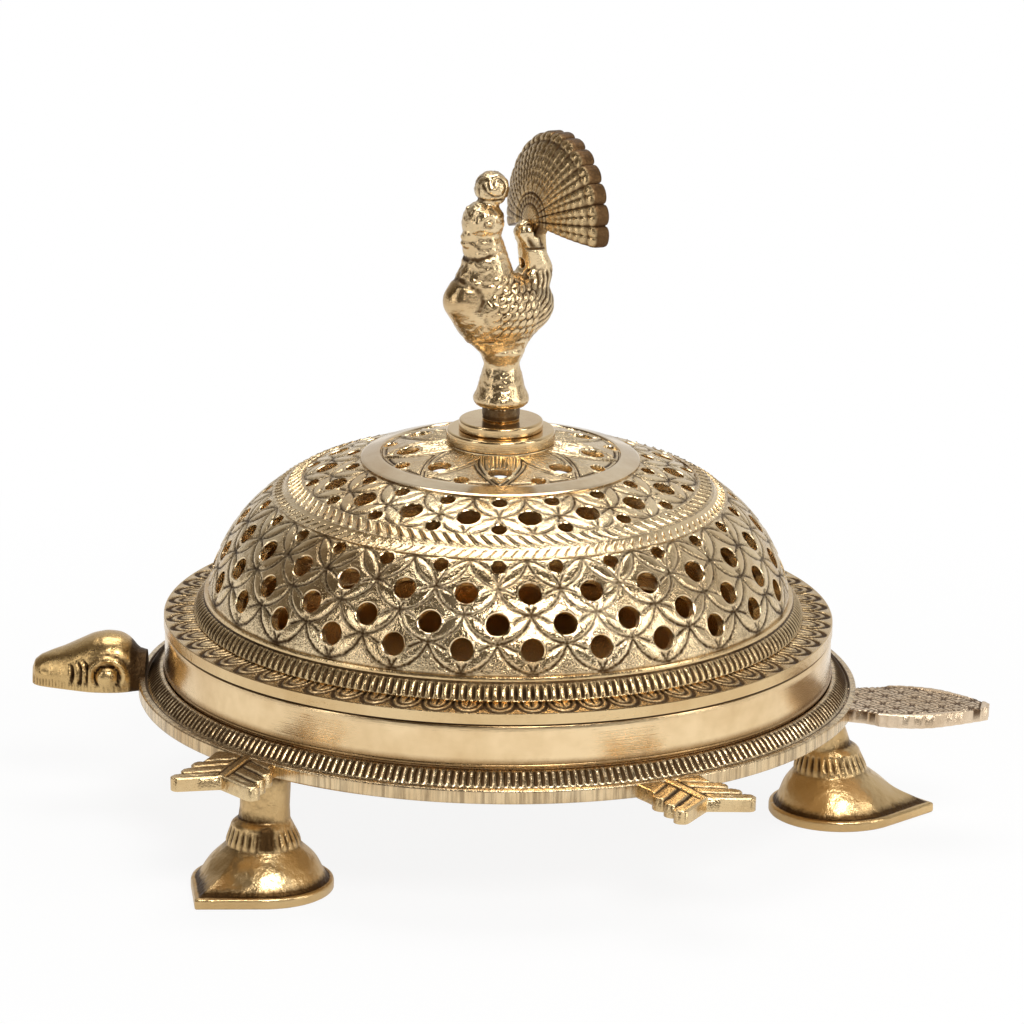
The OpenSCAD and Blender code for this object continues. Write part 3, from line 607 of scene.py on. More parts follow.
def tail_height(u, v):
    """Two sets of round scales that overlap, within a plain border."""
    h = np.zeros_like(u)
    for shift in (0, 0.5):
        a = ((u / scale_long + shift) % 1 - 0.5) * scale_long
        b = ((v / scale_wide + shift) % 1 - 0.5) * scale_wide
        from_middle = np.hypot(a, b * 1.12)
        outer, inner = cut(from_middle - 3.9, 0.3, 0.4), cut(from_middle - 2.3, 0.24, 0.26)
        eyelet = cut(np.hypot(a * 0.55, b) - 0.55, 0.26, 0.3)
        h = np.minimum.reduce([h, outer, inner, eyelet])
    border = np.minimum(13.6 - np.abs(v) - np.clip(u - 16, 0, 40) * 0.42, 37 - u)
    return np.where(border < 1.0, 0, h) + cut(border - 1.0, 0.3, 0.4)


points, faces, relief = plaque(tail_path, tail_height, tail_thick, 0.45, soft=0.5)
x, y = turned(plate_r + points[:, 0], points[:, 1], math.radians(-2.3))
points = np.stack([x, y, points[:, 2] + plate_low + 0.05], axis=1)
tail = cast("tortoise_tail_casting", points, faces, tail_finish, 1 - 1.9 * (1 - relief))
seat(tail, "base", "tortoise_tail", crease=50)

# Legs ----------------------------------------------------------------------------------------
# Three castings, each a pointed flat-soled foot with a filed rim, a rounded bell, a fluted
# collar and a round neck brazed under the plate. The rear neck leans in, the front ones hardly do.
leg_finish = metal(
    "Leg brass", (0.7, 0.5, 0.25), (0.085, 0.045, 0.016), (0.3, 0.46), grain,
    reach=1.25, blotches=0.75, size=420.0, depth=0.3, dents=0.8,
)
foot_long, foot_half, foot_out, leg_around, flutes = 47.5, 20.0, 102.5, 200, 28
heel_in = foot_long / 2 - foot_half
spin = np.arange(leg_around) * 2 * math.pi / leg_around
# Height, how far in from the rim, share of the toe's point, and how clean the brass is there
bell = (
    (0.0, 0.7, 1.0, 0.6), (0.25, 0.25, 1.0, 0.8), (0.6, 0.0, 1.0, 1.0), (2.3, 0.0, 1.0, 1.0),
    (2.85, 0.15, 1.0, 1.0), (3.1, 0.5, 0.98, 1.0), (3.16, 0.9, 0.95, 0.9), (3.12, 1.25, 0.92, 0.4),
    (3.2, 1.6, 0.88, 0.12), (3.6, 1.95, 0.82, 0.12), (4.5, 2.4, 0.71, 0.4), (5.6, 3.1, 0.48, 0.85),
    (7.0, 3.8, 0.19, 1.0), (8.6, 4.9, 0.06, 1.0), (10.0, 6.2, 0.03, 1.0), (11.3, 7.6, 0.0, 0.9),
    (12.4, 8.8, 0.0, 0.75), (13.1, 9.4, 0.0, 0.6),
)
# Height, radius on the inner side and on the outer side, where the collar ends in a shoulder
collar = (
    (13.6, 10.5, 10.6), (14.2, 10.4, 10.6), (15.1, 10.1, 10.4), (16.1, 9.6, 10.1), (17.1, 9.1, 9.8),
    (18.1, 8.5, 9.5), (18.9, 8.1, 9.3), (19.6, 7.7, 8.9), (20.1, 7.45, 8.3), (20.5, 7.3, 7.6),
)
flutes_from, flutes_to = 13.3, 18.9
# Height and radius
neck = ((20.9, 7.2), (21.8, 7.15), (24.0, 7.05), (28.0, 6.95), (31.5, 6.95), (33.6, 7.1), (34.45, 7.5))


def soft_step(value, low, high):
    """0 below low, 1 above high, smooth between."""
    t = ramp(value, low, high)
    return t * t * (3 - 2 * t)


def off(direction):
    """How far each point of a ring lies from a direction, as an angle to either side."""
    return (spin - direction + math.pi) % (2 * math.pi) - math.pi


def foot_radius(inset, point):
    """Distance of the pointed foot's edge from its heel's middle, for each direction."""
    heel = foot_half - inset
    toe = heel + max(point, 0.001) * (foot_long - 2 * foot_half)
    tangent = math.acos(heel / toe)
    off_toe = np.abs(off(0))
    return np.where(off_toe >= tangent, heel, heel / np.cos(tangent - off_toe))


def leg(name, at, lean, stain_at=None):
    """A leg in its place round the plate. Lean is how far in from the foot's middle its neck ends,
    and stain_at is the side of its collar that has stayed dark."""
    top_in = heel_in + (lean - heel_in) * 0.3
    neck_in = top_in + (lean - heel_in) * 0.14
    outer = soft_step(np.cos(spin), 0.1, 0.75)
    rings, clean_and_shade = [], []

    def ring(z, r, middle, clean):
        """Adds a ring of points, a little lumpy as sand leaves it, and how clean each is, which near the
        plate also holds painted shade.
        """
        lumpy = np.interp(z, [4.0, 7.0, 12.0, 14.0, 20.0, 24.0, 33.0, 34.4], [0, 1, 1, 0.3, 0.3, 1, 0.6, 0])
        where = (Vector((1.3 * math.cos(a), 1.3 * math.sin(a), 0.22 * z + lean)) for a in spin)
        r = r + 0.3 * lumpy * np.array([noise_at(p) for p in where])
        rings.append(np.stack([r * np.cos(spin) - middle, r * np.sin(spin), np.full(leg_around, z)], axis=1))
        if stain_at is not None:
            stain = np.interp(z, [13.2, 14.4, 19.0, 21.0], [0, 1, 1, 0])
            clean = np.minimum(clean, 1 - ridge(off(stain_at), 0.3, stain))
        clean_and_shade.append(np.full(leg_around, clean))

    for z, inset, point, clean in bell:
        share = ramp(z, 3.5, 13.2) ** 1.3
        ring(z, foot_radius(inset, point), heel_in + share * (top_in - heel_in), clean)
    for z, inner_r, outer_r in collar:
        fade = hump((z - flutes_from) / (flutes_to - flutes_from), 0.6) if z < flutes_to else 0
        groove = fade * wave(spin, 2 * math.pi / flutes) ** 1.5
        clean = np.interp(z, [13.0, 14.0, 18.6, 20.1, 20.6], [0.6, 0.95, 0.95, 0.75, 0.65])
        r = inner_r + (outer_r - inner_r) * outer - 0.5 * groove
        ring(z, r, top_in + (lean - heel_in) * 0.1 * (z - 13) / 5, clean - 0.75 * groove)
    for z, r in neck:
        # The neck darkens towards the plate: partly patina, partly a painted shadow under the plate.
        clean = np.interp(z, [20.9, 22.0, 30.0, 34.4], [0.65, 0.85, 0.9, 0.2])
        ring(z, r, neck_in + (lean - neck_in) * (z - 20.0) / 14.5, clean - 0.3 * outer * (z < 22))
    fine = []
    rows = [np.column_stack(pair) for pair in zip(rings, clean_and_shade)]
    for row, above in zip(rows, rows[1:]):
        steps = 1 if row[0, 2] < 3.7 else 3
        fine += [row * (1 - t) + above * t for t in np.arange(steps) / steps]
    fine = np.array(fine + [rows[-1]])
    shape, relief = fine[..., :3], fine[..., 3]
    height = shape[:, :, 2].mean(axis=1)
    hollow = (height > 3.5) & (height < 13.0)
    for _ in range(4):
        eased = shape.copy()
        eased[1:-1] = (shape[:-2] + 2 * shape[1:-1] + shape[2:]) / 4
        shape[hollow] = eased[hollow]
    x, y = turned(shape[..., 0] + foot_out, shape[..., 1], math.radians(at))
    points = np.stack([x, y, shape[..., 2]], axis=2).reshape(-1, 3)
    sole, top = range(leg_around), range(len(points) - leg_around, len(points))
    faces = quads(len(shape), leg_around, ring=True) + [tuple(sole)[::-1], tuple(top)]
    seat(cast(name + "_casting", points, faces, leg_finish, relief.ravel()), "base", name, 55)


leg("leg_rear", 5.0, 12.0)
leg("leg_front_left", -126.0, 5.2, 0.85)
leg("leg_front_right", 126.0, 5.2)

# Ember pan -----------------------------------------------------------------------------------
# Turned on a lathe from thick sheet, with a small roll at its foot, and left bright with fine
# turning marks. It drops inside the plate's lip and holds the charcoal and incense.
pan_finish = metal(
    "Turned brass", (0.88, 0.665, 0.39), (0.34, 0.2, 0.08), (0.13, 0.3), marks,
    reach=1.2, blotches=0.2, stretch=(0.6, 0.6, 45.0), size=70.0, depth=0.12,
)
pan_r, pan_in_r, pan_floor, pan_top, pan_copies = 95.5, 93.5, 40.6, 54.8, 216
roll_top, pan_corner = 44.2, 1.5


def arc(r, z, across, up, start, end, n):
    """n points of an oval arc about (r, z), by angle from its middle's outer side."""
    return [(r + across * math.cos(t), z + up * math.sin(t)) for t in np.linspace(start, end, n)]


pan_line = [(bolt_hole_r, plate_top), (95.0, plate_top), (95.45, plate_top + 0.3), (95.45, 42.6)]
pan_line += arc(95.2, 43.2, 0.7, 0.62, 0.5 - math.pi / 2, math.pi / 2 - 0.5, 9)
pan_line += between((pan_r, 43.95), (pan_r, 54.4), 5)
pan_line += [(pan_r, 54.4), (95.35, 54.68), (95.05, pan_top), (93.95, pan_top), (93.65, 54.68)]
pan_line += [(pan_in_r, 54.4), (pan_in_r, 42.2)]
pan_line += arc(pan_in_r - pan_corner, 42.1, pan_corner, -pan_corner, 0.2, math.pi / 2, 5)
pan_line += [(60.0, pan_floor), (bolt_hole_r, pan_floor)]


def pan_shade(r, z, relief):
    """Painted shade under the lid's edge, and duller round the roll at the foot."""
    outside = r > 95.0
    shade_under_lid = np.where(outside & (z > 54.5), 0.0, relief)
    return np.where(outside & (z > 42.0) & (z < roll_top), 0.35, shade_under_lid)


pan = ring_of("ember_pan_turned", pan_line, pan_copies, pan_finish, shade=pan_shade)
seat(pan, "base", "ember_pan")

# Pan fixing ----------------------------------------------------------------------------------
# A steel screw, washer and nut through the middle of pan and plate, plain and hidden under the
# lid. The stud that holds the finial is of the same steel.
steel_finish = metal(
    "Fixing steel", (0.56, 0.56, 0.57), (0.2, 0.17, 0.14), (0.34, 0.55), marks,
    blotches=0.4, stretch=(1.0, 1.0, 30.0), size=200.0, depth=0.2,
)


def finished(finish, *names):
    """Gives pieces that keep their plain shape a finish of their own."""
    for name in names:
        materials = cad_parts[name].data.materials
        materials.clear()
        materials.append(finish)


finished(steel_finish, "pan_screw", "pan_washer", "pan_nut", "finial_stud")

# Dome ----------------------------------------------------------------------------------------
# The lid is one casting whose wall follows a crown arc and a shoulder arc. Its patterns are cut
# in the mould: a nine point star, leaf flowers, two rows of slanted cuts and a lattice of
# leaves. All its holes are drilled square to the wall.
crown_r, shoulder_r, shoulder_out, shoulder_z, dome_wall = 138.7, 43.3, 40.8, 57.7, 2.4
slope_c = math.asin(shoulder_out / (crown_r - shoulder_r))
crown_z = shoulder_z - (crown_r - shoulder_r) * math.cos(slope_c)
run_c = crown_r * slope_c
pattern_turn = math.radians(-85)
dome_finish = metal(
    "Dome brass", (0.89, 0.7, 0.43), oxide_and_shade, (0.2, 0.44), grain,
    reach=1.0, blotches=0.6, size=650.0, depth=0.2, hollows=1.0, dents=0.4,
)
inside_finish = metal(
    "Dome inside brass", (0.72, 0.36, 0.1), (0.2, 0.09, 0.03), (0.34, 0.55), grain,
    reach=0.6, blotches=0.6, size=420.0, depth=0.5, dents=0.5,
)


def on_dome(run, deep=0.0):
    """Radius and height of the point that lies run along the dome's line from its middle."""
    crown = run < run_c
    a = np.where(crown, run / crown_r, slope_c + (run - run_c) / shoulder_r)
    r = np.where(crown, (crown_r - deep) * np.sin(a), shoulder_out + (shoulder_r - deep) * np.sin(a))
    z = np.where(crown, crown_z + (crown_r - deep) * np.cos(a), shoulder_z + (shoulder_r - deep) * np.cos(a))
    return r, z


def wall_points(net, deep):
    """The points of a net of (angle, run) on the dome, so deep inside its face."""
    r, z = on_dome(net[:, 1], deep)
    return polar(r, net[:, 0], z)


def run_at(slope):
    """How far along the dome's line its slope is reached."""
    a = math.radians(slope)
    return crown_r * a if a < slope_c else run_c + shoulder_r * (a - slope_c)


def spread(run, deep):
    """How much more the wall's face measures than the same stretch so deep inside it."""
    r = crown_r if run < run_c else shoulder_r
    return r / (r - deep)


def hole_rim(place, r, grown, angles, way, deep):
    """The points (angle, run) of a hole's rim on the wall's face, or so deep inside it."""
    run = place + way * r * grown * np.cos(angles)
    return list(zip(way * r * np.sin(angles) / on_dome(run, deep)[0], run))


def slice_rims(low, high, copies, side_holes, mid_holes, spacing, deep, loops):
    """The points on the edge of one slice and on its holes' rims, and how many lie on the edge.
    Then the lines that join them, and the numbers of the points on the slice's lower and upper
    edge and on each rim. A rim is whole, or half where it lies at a slice's side."""
    turn, end_steps = math.pi / copies, 12

    def climb(start, end):
        """Evenly spaced points straight up, without the start itself."""
        n = max(int((end - start) / spacing / 1.3), 1)
        return [(0.0, start + (end - start) * (k + 1) / n) for k in range(n)]

    side, arcs = [(0.0, low)], []
    for place, r, grown in side_holes:
        side += climb(side[-1][1], place - r * grown)[:-1]
        arcs.append(slice(len(side), len(side) + loops // 2 + 1))
        side += hole_rim(place, r, grown, np.arange(loops // 2 + 1) * math.pi / (loops // 2), -1, deep)
    side += climb(side[-1][1], high)
    lower = [(-turn + 2 * turn * k / end_steps, low) for k in range(1, end_steps)]
    upper = [(-phi, high) for phi, _ in lower]
    right = [(turn + phi, run) for phi, run in side]
    left = [(-turn - phi, run) for phi, run in side]
    net = [left[0]] + lower + right + upper + left[:0:-1]
    around = len(net)
    right_at = [1 + len(lower) + k for k in range(len(side))]
    left_at = [-k % around for k in range(len(side))]
    ends = list(range(right_at[0] + 1)), list(range(right_at[-1], left_at[-1] + 1))
    half_rims = [(right_at[arc], False) for arc in arcs] + [(left_at[arc][::-1], False) for arc in arcs]
    lines = [(i, (i + 1) % around) for i in range(around)]
    rims = []
    for place, r, grown in mid_holes:
        start = len(net)
        net += hole_rim(place, r, grown, np.arange(loops) * 2 * math.pi / loops, 1, deep)
        lines += [(start + k, start + (k + 1) % loops) for k in range(loops)]
        rims.append((list(range(start, start + loops)), True))
    return np.array(net), around, lines, ends, rims + half_rims


def wall_face(low, high, copies, holes, spacing, deep, rim, loops):
    """Flat net of one slice, as (angle, run) points and triangles, with its ends and rims."""
    side_holes = [(place, r + rim, spread(place, deep)) for place, r, at_side in holes if at_side]
    mid_holes = [(place, r + rim, spread(place, deep)) for place, r, at_side in holes if not at_side]
    net, around, lines, ends, rims = slice_rims(
        low, high, copies, side_holes, mid_holes, spacing, deep, loops
    )
    turn, middle_r = math.pi / copies, float(on_dome((low + high) / 2)[0])

    def from_hole(phi, run, place, grown):
        """Distance from a hole's middle, measured on this face of the wall."""
        return np.hypot(phi * on_dome(run, deep)[0], (run - place) / grown)

    rise, n = spacing * 0.87, int(2 * turn * middle_r / spacing)
    grid = []
    for j in range(int((high - low) / rise) + 1):
        phis = (-turn + 2 * turn * (k + 0.5 * (j % 2)) / n for k in range(n + 1))
        grid += [(phi * middle_r, low + (j + 0.5) * rise) for phi in phis]
    grid = np.array(grid)
    near, inside = from_edge(grid, net[:around] * (middle_r, 1))
    keep = inside & (near > spacing * 0.5)
    for place, r, grown in mid_holes:
        keep &= from_hole(grid[:, 0] / middle_r, grid[:, 1], place, grown) > r + spacing * 0.5
    net = np.vstack([net, grid[keep] / (middle_r, 1)])
    flat = [Vector((phi * middle_r, run)) for phi, run in net]
    made = geometry.delaunay_2d_cdt(flat, lines, [], 1, 1e-7)
    given = [numbers[-1] for numbers in made[3]]
    tris = []
    for face in made[2]:
        face = tuple(given[i] for i in face)
        phi, run = net[list(face)].mean(axis=0)
        if all(from_hole(phi, run, place, grown) > r * 0.992 for place, r, grown in mid_holes):
            tris.append(face)
    return net, tris, ends, rims


def pierced(name, low, high, copies, height, holes, spacing, rim):
    """One slice of the dome: a relief outside, a plain wall inside, drilled through."""
    chamfer, loops, inner_spacing = 0.25, 28, 2.4
    outer, tris, ends, rims = wall_face(low, high, copies, holes, spacing, 0, rim, loops)
    inner, in_tris, in_ends, in_rims = wall_face(
        low, high, copies, holes, inner_spacing, dome_wall, 0, loops
    )
    n, total = len(outer), len(outer) + len(inner)
    lift = height(outer[:, 0] * on_dome(outer[:, 1])[0], outer[:, 1])
    points = [wall_points(outer, -lift), wall_points(inner, dome_wall)]
    relief = [1 + lift / 0.72, np.full(len(inner), 0.8)]
    faces = tris + [tuple(n + i for i in reversed(f)) for f in in_tris]
    of_inside = [0] * len(tris) + [1] * len(in_tris)
    for a, b in zip(ends, in_ends):
        faces += [(a[k], a[k + 1], n + b[k + 1], n + b[k]) for k in range(len(a) - 1)]
        of_inside += [0] * (len(a) - 1)
    for (ring, whole), (in_ring, _) in zip(rims, in_rims):
        edge = outer[ring]
        middle = edge.mean(axis=0) if whole else (edge[0] + edge[-1]) / 2
        size = np.ptp(edge[:, 1]) / 2
        points.append(wall_points(middle + (edge - middle) * ((size - rim) / size), chamfer))
        relief.append(np.full(len(ring), 0.95))
        for k in range(len(ring) if whole else len(ring) - 1):
            j = (k + 1) % len(ring)
            faces.append((ring[k], ring[j], total + j, total + k))
            faces.append((total + k, total + j, n + in_ring[j], n + in_ring[k]))
            of_inside += [0, 1]
        total += len(ring)
    band = cast(name, np.vstack(points), faces, dome_finish, np.concatenate(relief))
    band.data.materials.append(inside_finish)
    band.data.polygons.foreach_set("material_index", of_inside)
    return band


def flat_at_holes(height, holes, copies):
    """The relief, faded out round the drilled holes."""

    def faded(x, run):
        """The height, with a flat land left round each hole."""
        h = height(x, run)
        half_width = math.pi / copies * on_dome(run)[0]
        for place, r, at_side in holes:
            away = np.hypot(np.abs(x) - half_width if at_side else x, run - place) - r
            h = np.where(away < 0.9, np.maximum(h, -0.3) * ramp(away, 0.2, 0.9), h)
        return h

    return faded


def leaf(x, run, a, b, share, gap):
    """Distance from the edge of the pointed leaf from a to b, short of both by gap, negative
    inside, and the distance from its vein."""
    across, down = b[0] - a[0], b[1] - a[1]
    far = np.hypot(across, down)
    ux, uy = across / far, down / far
    along = (x - a[0]) * ux + (run - a[1]) * uy - far / 2
    vein = np.abs((run - a[1]) * ux - (x - a[0]) * uy)
    long, wide = far - 2 * gap, share * far
    arc_r = (long * long / 4 + wide * wide) / (2 * wide)
    return np.hypot(along, vein + arc_r - wide) - arc_r, vein


def grit(x, run, fine, layer=0.0):
    """The uneven ground that a sand mould leaves."""
    return np.array([noise_at(Vector((fine * a, fine * b, layer))) for a, b in zip(x, run)])


def leaves_between(x, run, copies, knots, share=0.12):
    """Height of the raised leaves that join the knots, which lie at a slice's middle and sides."""
    half_width = math.pi / copies * on_dome(run)[0]
    x = np.abs(x)
    edge, vein = np.full_like(x, 1e9), np.full_like(x, 1e9)
    for (side_a, run_a), (side_b, run_b) in zip(knots, knots[1:]):
        near, middle = leaf(x, run, (side_a * half_width, run_a), (side_b * half_width, run_b), share, 0.8)
        vein = np.where(near < edge, middle, vein)
        edge = np.minimum(edge, near)
    channel = ridge(edge - 0.42, 0.44, 1)
    crown = 0.25 * soft_step(-edge, 0.0, 1.2) + cut(vein, 0.22, 0.14) * (edge < -0.5)
    return -0.48 * channel + crown - 0.12 + grit(x, run, 2.3) * (0.3 * channel + 0.04)


def lattice_height(x, run):
    """Crossed leaves between the rows of holes, and a rougher foot."""
    knots = [(1, 67.9), (0, 77.6), (1, 85.4), (0, 93.7), (1, 102.2)]
    pitted_foot = (0.22 * grit(np.abs(x), run, 1.9, 4.0) - 0.08) * soft_step(run, 90.0, 97.0)
    h = leaves_between(x, run, 26, knots) + pitted_foot
    return np.minimum(h, cut(run - 67.9, 0.35, 0.5) + cut(run - 102.6, 0.3, 0.5))


def flower_height(x, run):
    """Leaves that meet in flowers round the middle row of holes."""
    h = leaves_between(x, run, 18, [(1, 40.9), (0, 50.0), (1, 57.7)], 0.135)
    return np.minimum(h, cut(run - 40.6, 0.35, 0.6) + cut(run - 57.9, 0.3, 0.5))


def star_height(x, run):
    """Nine points with a double line and reeds in each, over a ground with a line of its own."""
    r = on_dome(run)[0]
    away = np.abs(x) - 6.2 * (1 - ramp(r, 21, 33.8) ** 1.6)
    ground = away > 0.4
    double_line = cut(away, 0.42, 0.75) + cut(away + 1.7, 0.34, 0.6)
    reeds = -0.42 * wave(x, 1.1) * ramp(away, -1.9, -2.3)
    inner_line = cut(np.minimum(away, 34.0 - r) - 1.3, 0.36, 0.55) * ground
    h = np.minimum(double_line, reeds) + inner_line - 0.16 * ground
    return np.minimum(h, cut(run - 34.2, 0.3, 0.6))


# Each hole's place along the wall, its radius and whether it lies at the sides of a slice
small, large = 2.1, 3.3
star_holes = [(run_at(11.1), large, False), (run_at(13.3), small, True)]
flower_holes = [(run_at(17.9), small, False), (run_at(20.9), large, True), (run_at(23.0), small, False)]
lattice_holes = [(run_at(37.5), small, False), (run_at(48.8), large, True)]
lattice_holes += [(run_at(60.8), large, False), (run_at(70.4), large, True)]
# Where each band ends along the wall, from the middle out
boss_end, star_end, ring_end, flowers_end = 15.53, 34.55, 40.4, 58.3
cuts_middle, cuts_end, wall_end = 63.0, 67.48, 102.72
for name, low, high, copies, height, holes, spacing, rim in (
    ("dome_star", boss_end, star_end, 9, star_height, star_holes, 0.38, 0.12),
    ("dome_flowers", ring_end, flowers_end, 18, flower_height, flower_holes, 0.42, 0.25),
    ("dome_lattice", cuts_end, wall_end, 26, lattice_height, lattice_holes, 0.5, 0.28),
):
    relief_of = flat_at_holes(height, holes, copies)
    band = all_round(pierced(name, low, high, copies, relief_of, holes, spacing, rim), copies)
    band.data.transform(Matrix.Rotation(pattern_turn, 4, "Z"))
    seat(band, "lid", "lid_dome")


def wall_line(runs, deep):
    """Profile points (r, z) along the dome's wall, so deep inside its face."""
    return list(zip(*on_dome(np.asarray(runs), np.asarray(deep))))


def slanted(name, low, high, copies, lean, wide_low, wide_high, deep, plain):
    """A band of slanted cuts: each slice is skewed, with the cut along its sides. Plain is the
    share of the band, from its upper edge, that stays a smooth rib."""
    steps, columns, inner_points = 12, 13, 5
    line = wall_line(np.linspace(low, high, steps + 1), 0)
    line += wall_line(np.linspace(high, low, inner_points), dome_wall)
    from_middle = np.abs(np.linspace(-1, 1, columns))
    height = np.zeros((len(line), columns))
    for k in range(steps + 1):
        t = k / steps
        width = wide_low + (wide_high - wide_low) * t
        fade = ramp(t, plain, plain + 0.12) * ramp(t, 0.95, 0.85)
        height[k] = 0.22 * math.sin(math.pi * t) - 0.1 - deep * fade * ramp(from_middle, 1 - width, 1) ** 0.7
    height[0] = height[steps] = -0.3
    points, faces, relief = slice_of(line, copies, height)
    skew = np.concatenate([np.linspace(0, lean, steps + 1), np.linspace(lean, 0, inner_points)])
    x, y = turned(points[:, 0], points[:, 1], np.repeat(skew, columns))
    points = np.stack([x, y, points[:, 2]], axis=1)
    band = all_round(cast(name, points, faces, dome_finish, relief), copies)
    seat(band, "lid", "lid_dome")


slanted("dome_cuts_upper", flowers_end, cuts_middle, 102, 0.062, 0.3, 0.62, 0.55, 0.04)
slanted("dome_cuts_lower", cuts_middle, cuts_end, 134, -0.05, 0.2, 0.34, 0.36, 0.3)

# Ring round the star ---------------------------------------------------------------------------
# A smooth polished band stands a little proud of the casting, between star and flowers, and a
# low boss in the middle carries the collars.
ring_finish = metal(
    "Polished brass", (0.86, 0.7, 0.48), (0.4, 0.25, 0.11), (0.13, 0.3), marks,
    reach=0.9, blotches=0.2, stretch=(1.0, 1.0, 8.0), size=90.0, depth=0.1,
)
proud = wall_line(np.linspace(star_end, ring_end, 11)[1:-1], -0.4)
edge_in = wall_line([star_end, star_end + 0.1], [0.1, -0.25])
edge_out = wall_line([ring_end - 0.1, ring_end], [-0.25, 0.1])
ring_line = edge_in + proud + edge_out + wall_line(np.linspace(ring_end, star_end, 5), dome_wall)
ring = ring_of("dome_smooth_ring", ring_line, 160, ring_finish)
seat(ring, "lid", "lid_dome")
collar_r, stud_hole_r = 15.5, 2.75
seat_top = crown_z + math.sqrt(crown_r**2 - collar_r**2) + 0.3
boss_line = wall_line([boss_end, boss_end], [dome_wall, 0.0]) + [(collar_r - 0.05, seat_top - 0.02)]
boss_line += [(stud_hole_r, seat_top - 0.02), (stud_hole_r, seat_top - 3.3), (8.0, seat_top - 3.35)]
boss = ring_of("dome_boss", boss_line, 120, dome_finish)
seat(boss, "lid", "lid_dome")

# Flange and bead ring --------------------------------------------------------------------------
# The lid's foot: a flange that rests on the pan's rim with a lip inside it, a border of double
# chased leaves, and a ring of upright beads that the dome springs from.
flange_finish = metal(
    "Flange brass", (0.77, 0.57, 0.31), oxide_and_shade, (0.22, 0.46), grain,
    reach=1.25, blotches=0.5, size=620.0, depth=0.25, hollows=0.8, dents=0.35,
)
leaves, leaf_columns, flange_low, flange_in, lip_low = 64, 19, 54.8, 81.7, 51.3
locating_lip = [(90.9, flange_low), (90.9, lip_low), (91.2, lip_low), (92.6, lip_low)]
locating_lip += [(92.9, lip_low + 0.3), (92.9, flange_low)]
outside = [(flange_in, flange_low)] + locating_lip + [(95.35, flange_low), (95.8, 55.25)]
outside += between((95.8, 55.3), (95.8, 58.1), 4) + [(95.78, 58.25), (95.55, 58.45)]
border = [(95.4 - 8.2 * k / 22, 58.5 + 0.58 * k / 22) for k in range(23)]
flange_line = outside + border + [(86.5, 59.1), (flange_in, 59.1)]
height = np.zeros((len(flange_line), leaf_columns))
for row, (r, z) in enumerate(border, len(outside)):
    x = np.abs(across_slice(leaves, leaf_columns)) * r
    size = np.hypot(x / 4.35, (r - 87.6) / 6.9)
    double_leaf = cut((size - 1.0) * 4.6, 0.48, 0.7) + cut((size - 0.6) * 4.6, 0.42, 0.55)
    height[row] = double_leaf + cut(x, 0.3, 0.45) * ramp(size, 0.5, 0.3) - 0.12


def flange_shade(r, z, relief):
    """Painted shade where the flange sits on the pan."""
    return np.where((z < 55.27) & (r > 95.0), 0.0, relief)


flange = ring_of("lid_flange", flange_line, leaves, flange_finish, height, flange_shade)
seat(flange, "lid", "lid_dome")
bead_count, bead_steps, bead_deep = 232, 10, 0.85
bead_across = np.array([1, 0.7, 0.12, 0, 0.12, 0.7, 1])
bead_foot = [(82.2, 58.9), (87.0, 58.95), (87.28, 59.3)]
bead_face = [(87.3 - 0.1 * t - 2.35 * t**1.9, 59.4 + 4.0 * t) for t in np.linspace(0, 1, bead_steps + 1)]
bead_top = [(84.6, 63.62), (84.42, 63.95)] + between((84.38, 64.1), (84.3, 65.0), 3)
bead_line = bead_foot + bead_face + bead_top + [(84.1, 65.15), (82.2, 65.2)]
height = np.zeros((len(bead_line), len(bead_across)))
above_beads = len(bead_foot) + len(bead_face)
for k in range(bead_steps + 1):
    height[len(bead_foot) + k] = -bead_deep * hump((k + 0.3) / 10.6, 0.4) * bead_across
height[above_beads : above_beads + 2] = -0.4
beads = ring_of("lid_bead_ring", bead_line, bead_count, flange_finish, height)
seat(beads, "lid", "lid_dome")

# Collars -----------------------------------------------------------------------------------------
# Two plain turned discs with rounded edges, stacked on the crown and clamped by the stud.
collar_finish = metal(
    "Collar brass", (0.78, 0.58, 0.32), (0.22, 0.13, 0.055), (0.18, 0.36), marks,
    reach=1.0, blotches=0.35, stretch=(1.0, 1.0, 14.0), size=120.0, depth=0.14,
)
stack_top, edge_round = seat_top, 0.7
for name, r, tall in (("collar_lower", collar_r, 3.7), ("collar_upper", 12.0, 2.9)):
    low, stack_top = stack_top, stack_top + tall
    line = [(stud_hole_r, low), (r - 0.5, low), (r - 0.25, low + 0.08), (r, low + 0.4)]
    line += between((r, low + 0.5), (r, stack_top - 0.8), 3)
    line += arc(r - edge_round, stack_top - edge_round, edge_round, edge_round, 0, math.pi / 2, 7)
    line += [(r - 1.2, stack_top), (stud_hole_r, stack_top)]
    # The underside and lowest edge of each disc, where it sits, are painted dark: painted shade in the joint
    # between the parts.
    disc = ring_of(
        name + "_turned", line, 128, collar_finish,
        shade=lambda r, z, relief: np.where(np.abs(z - low) < 0.3, 0.35, relief),
    )
    seat(disc, "lid", name)

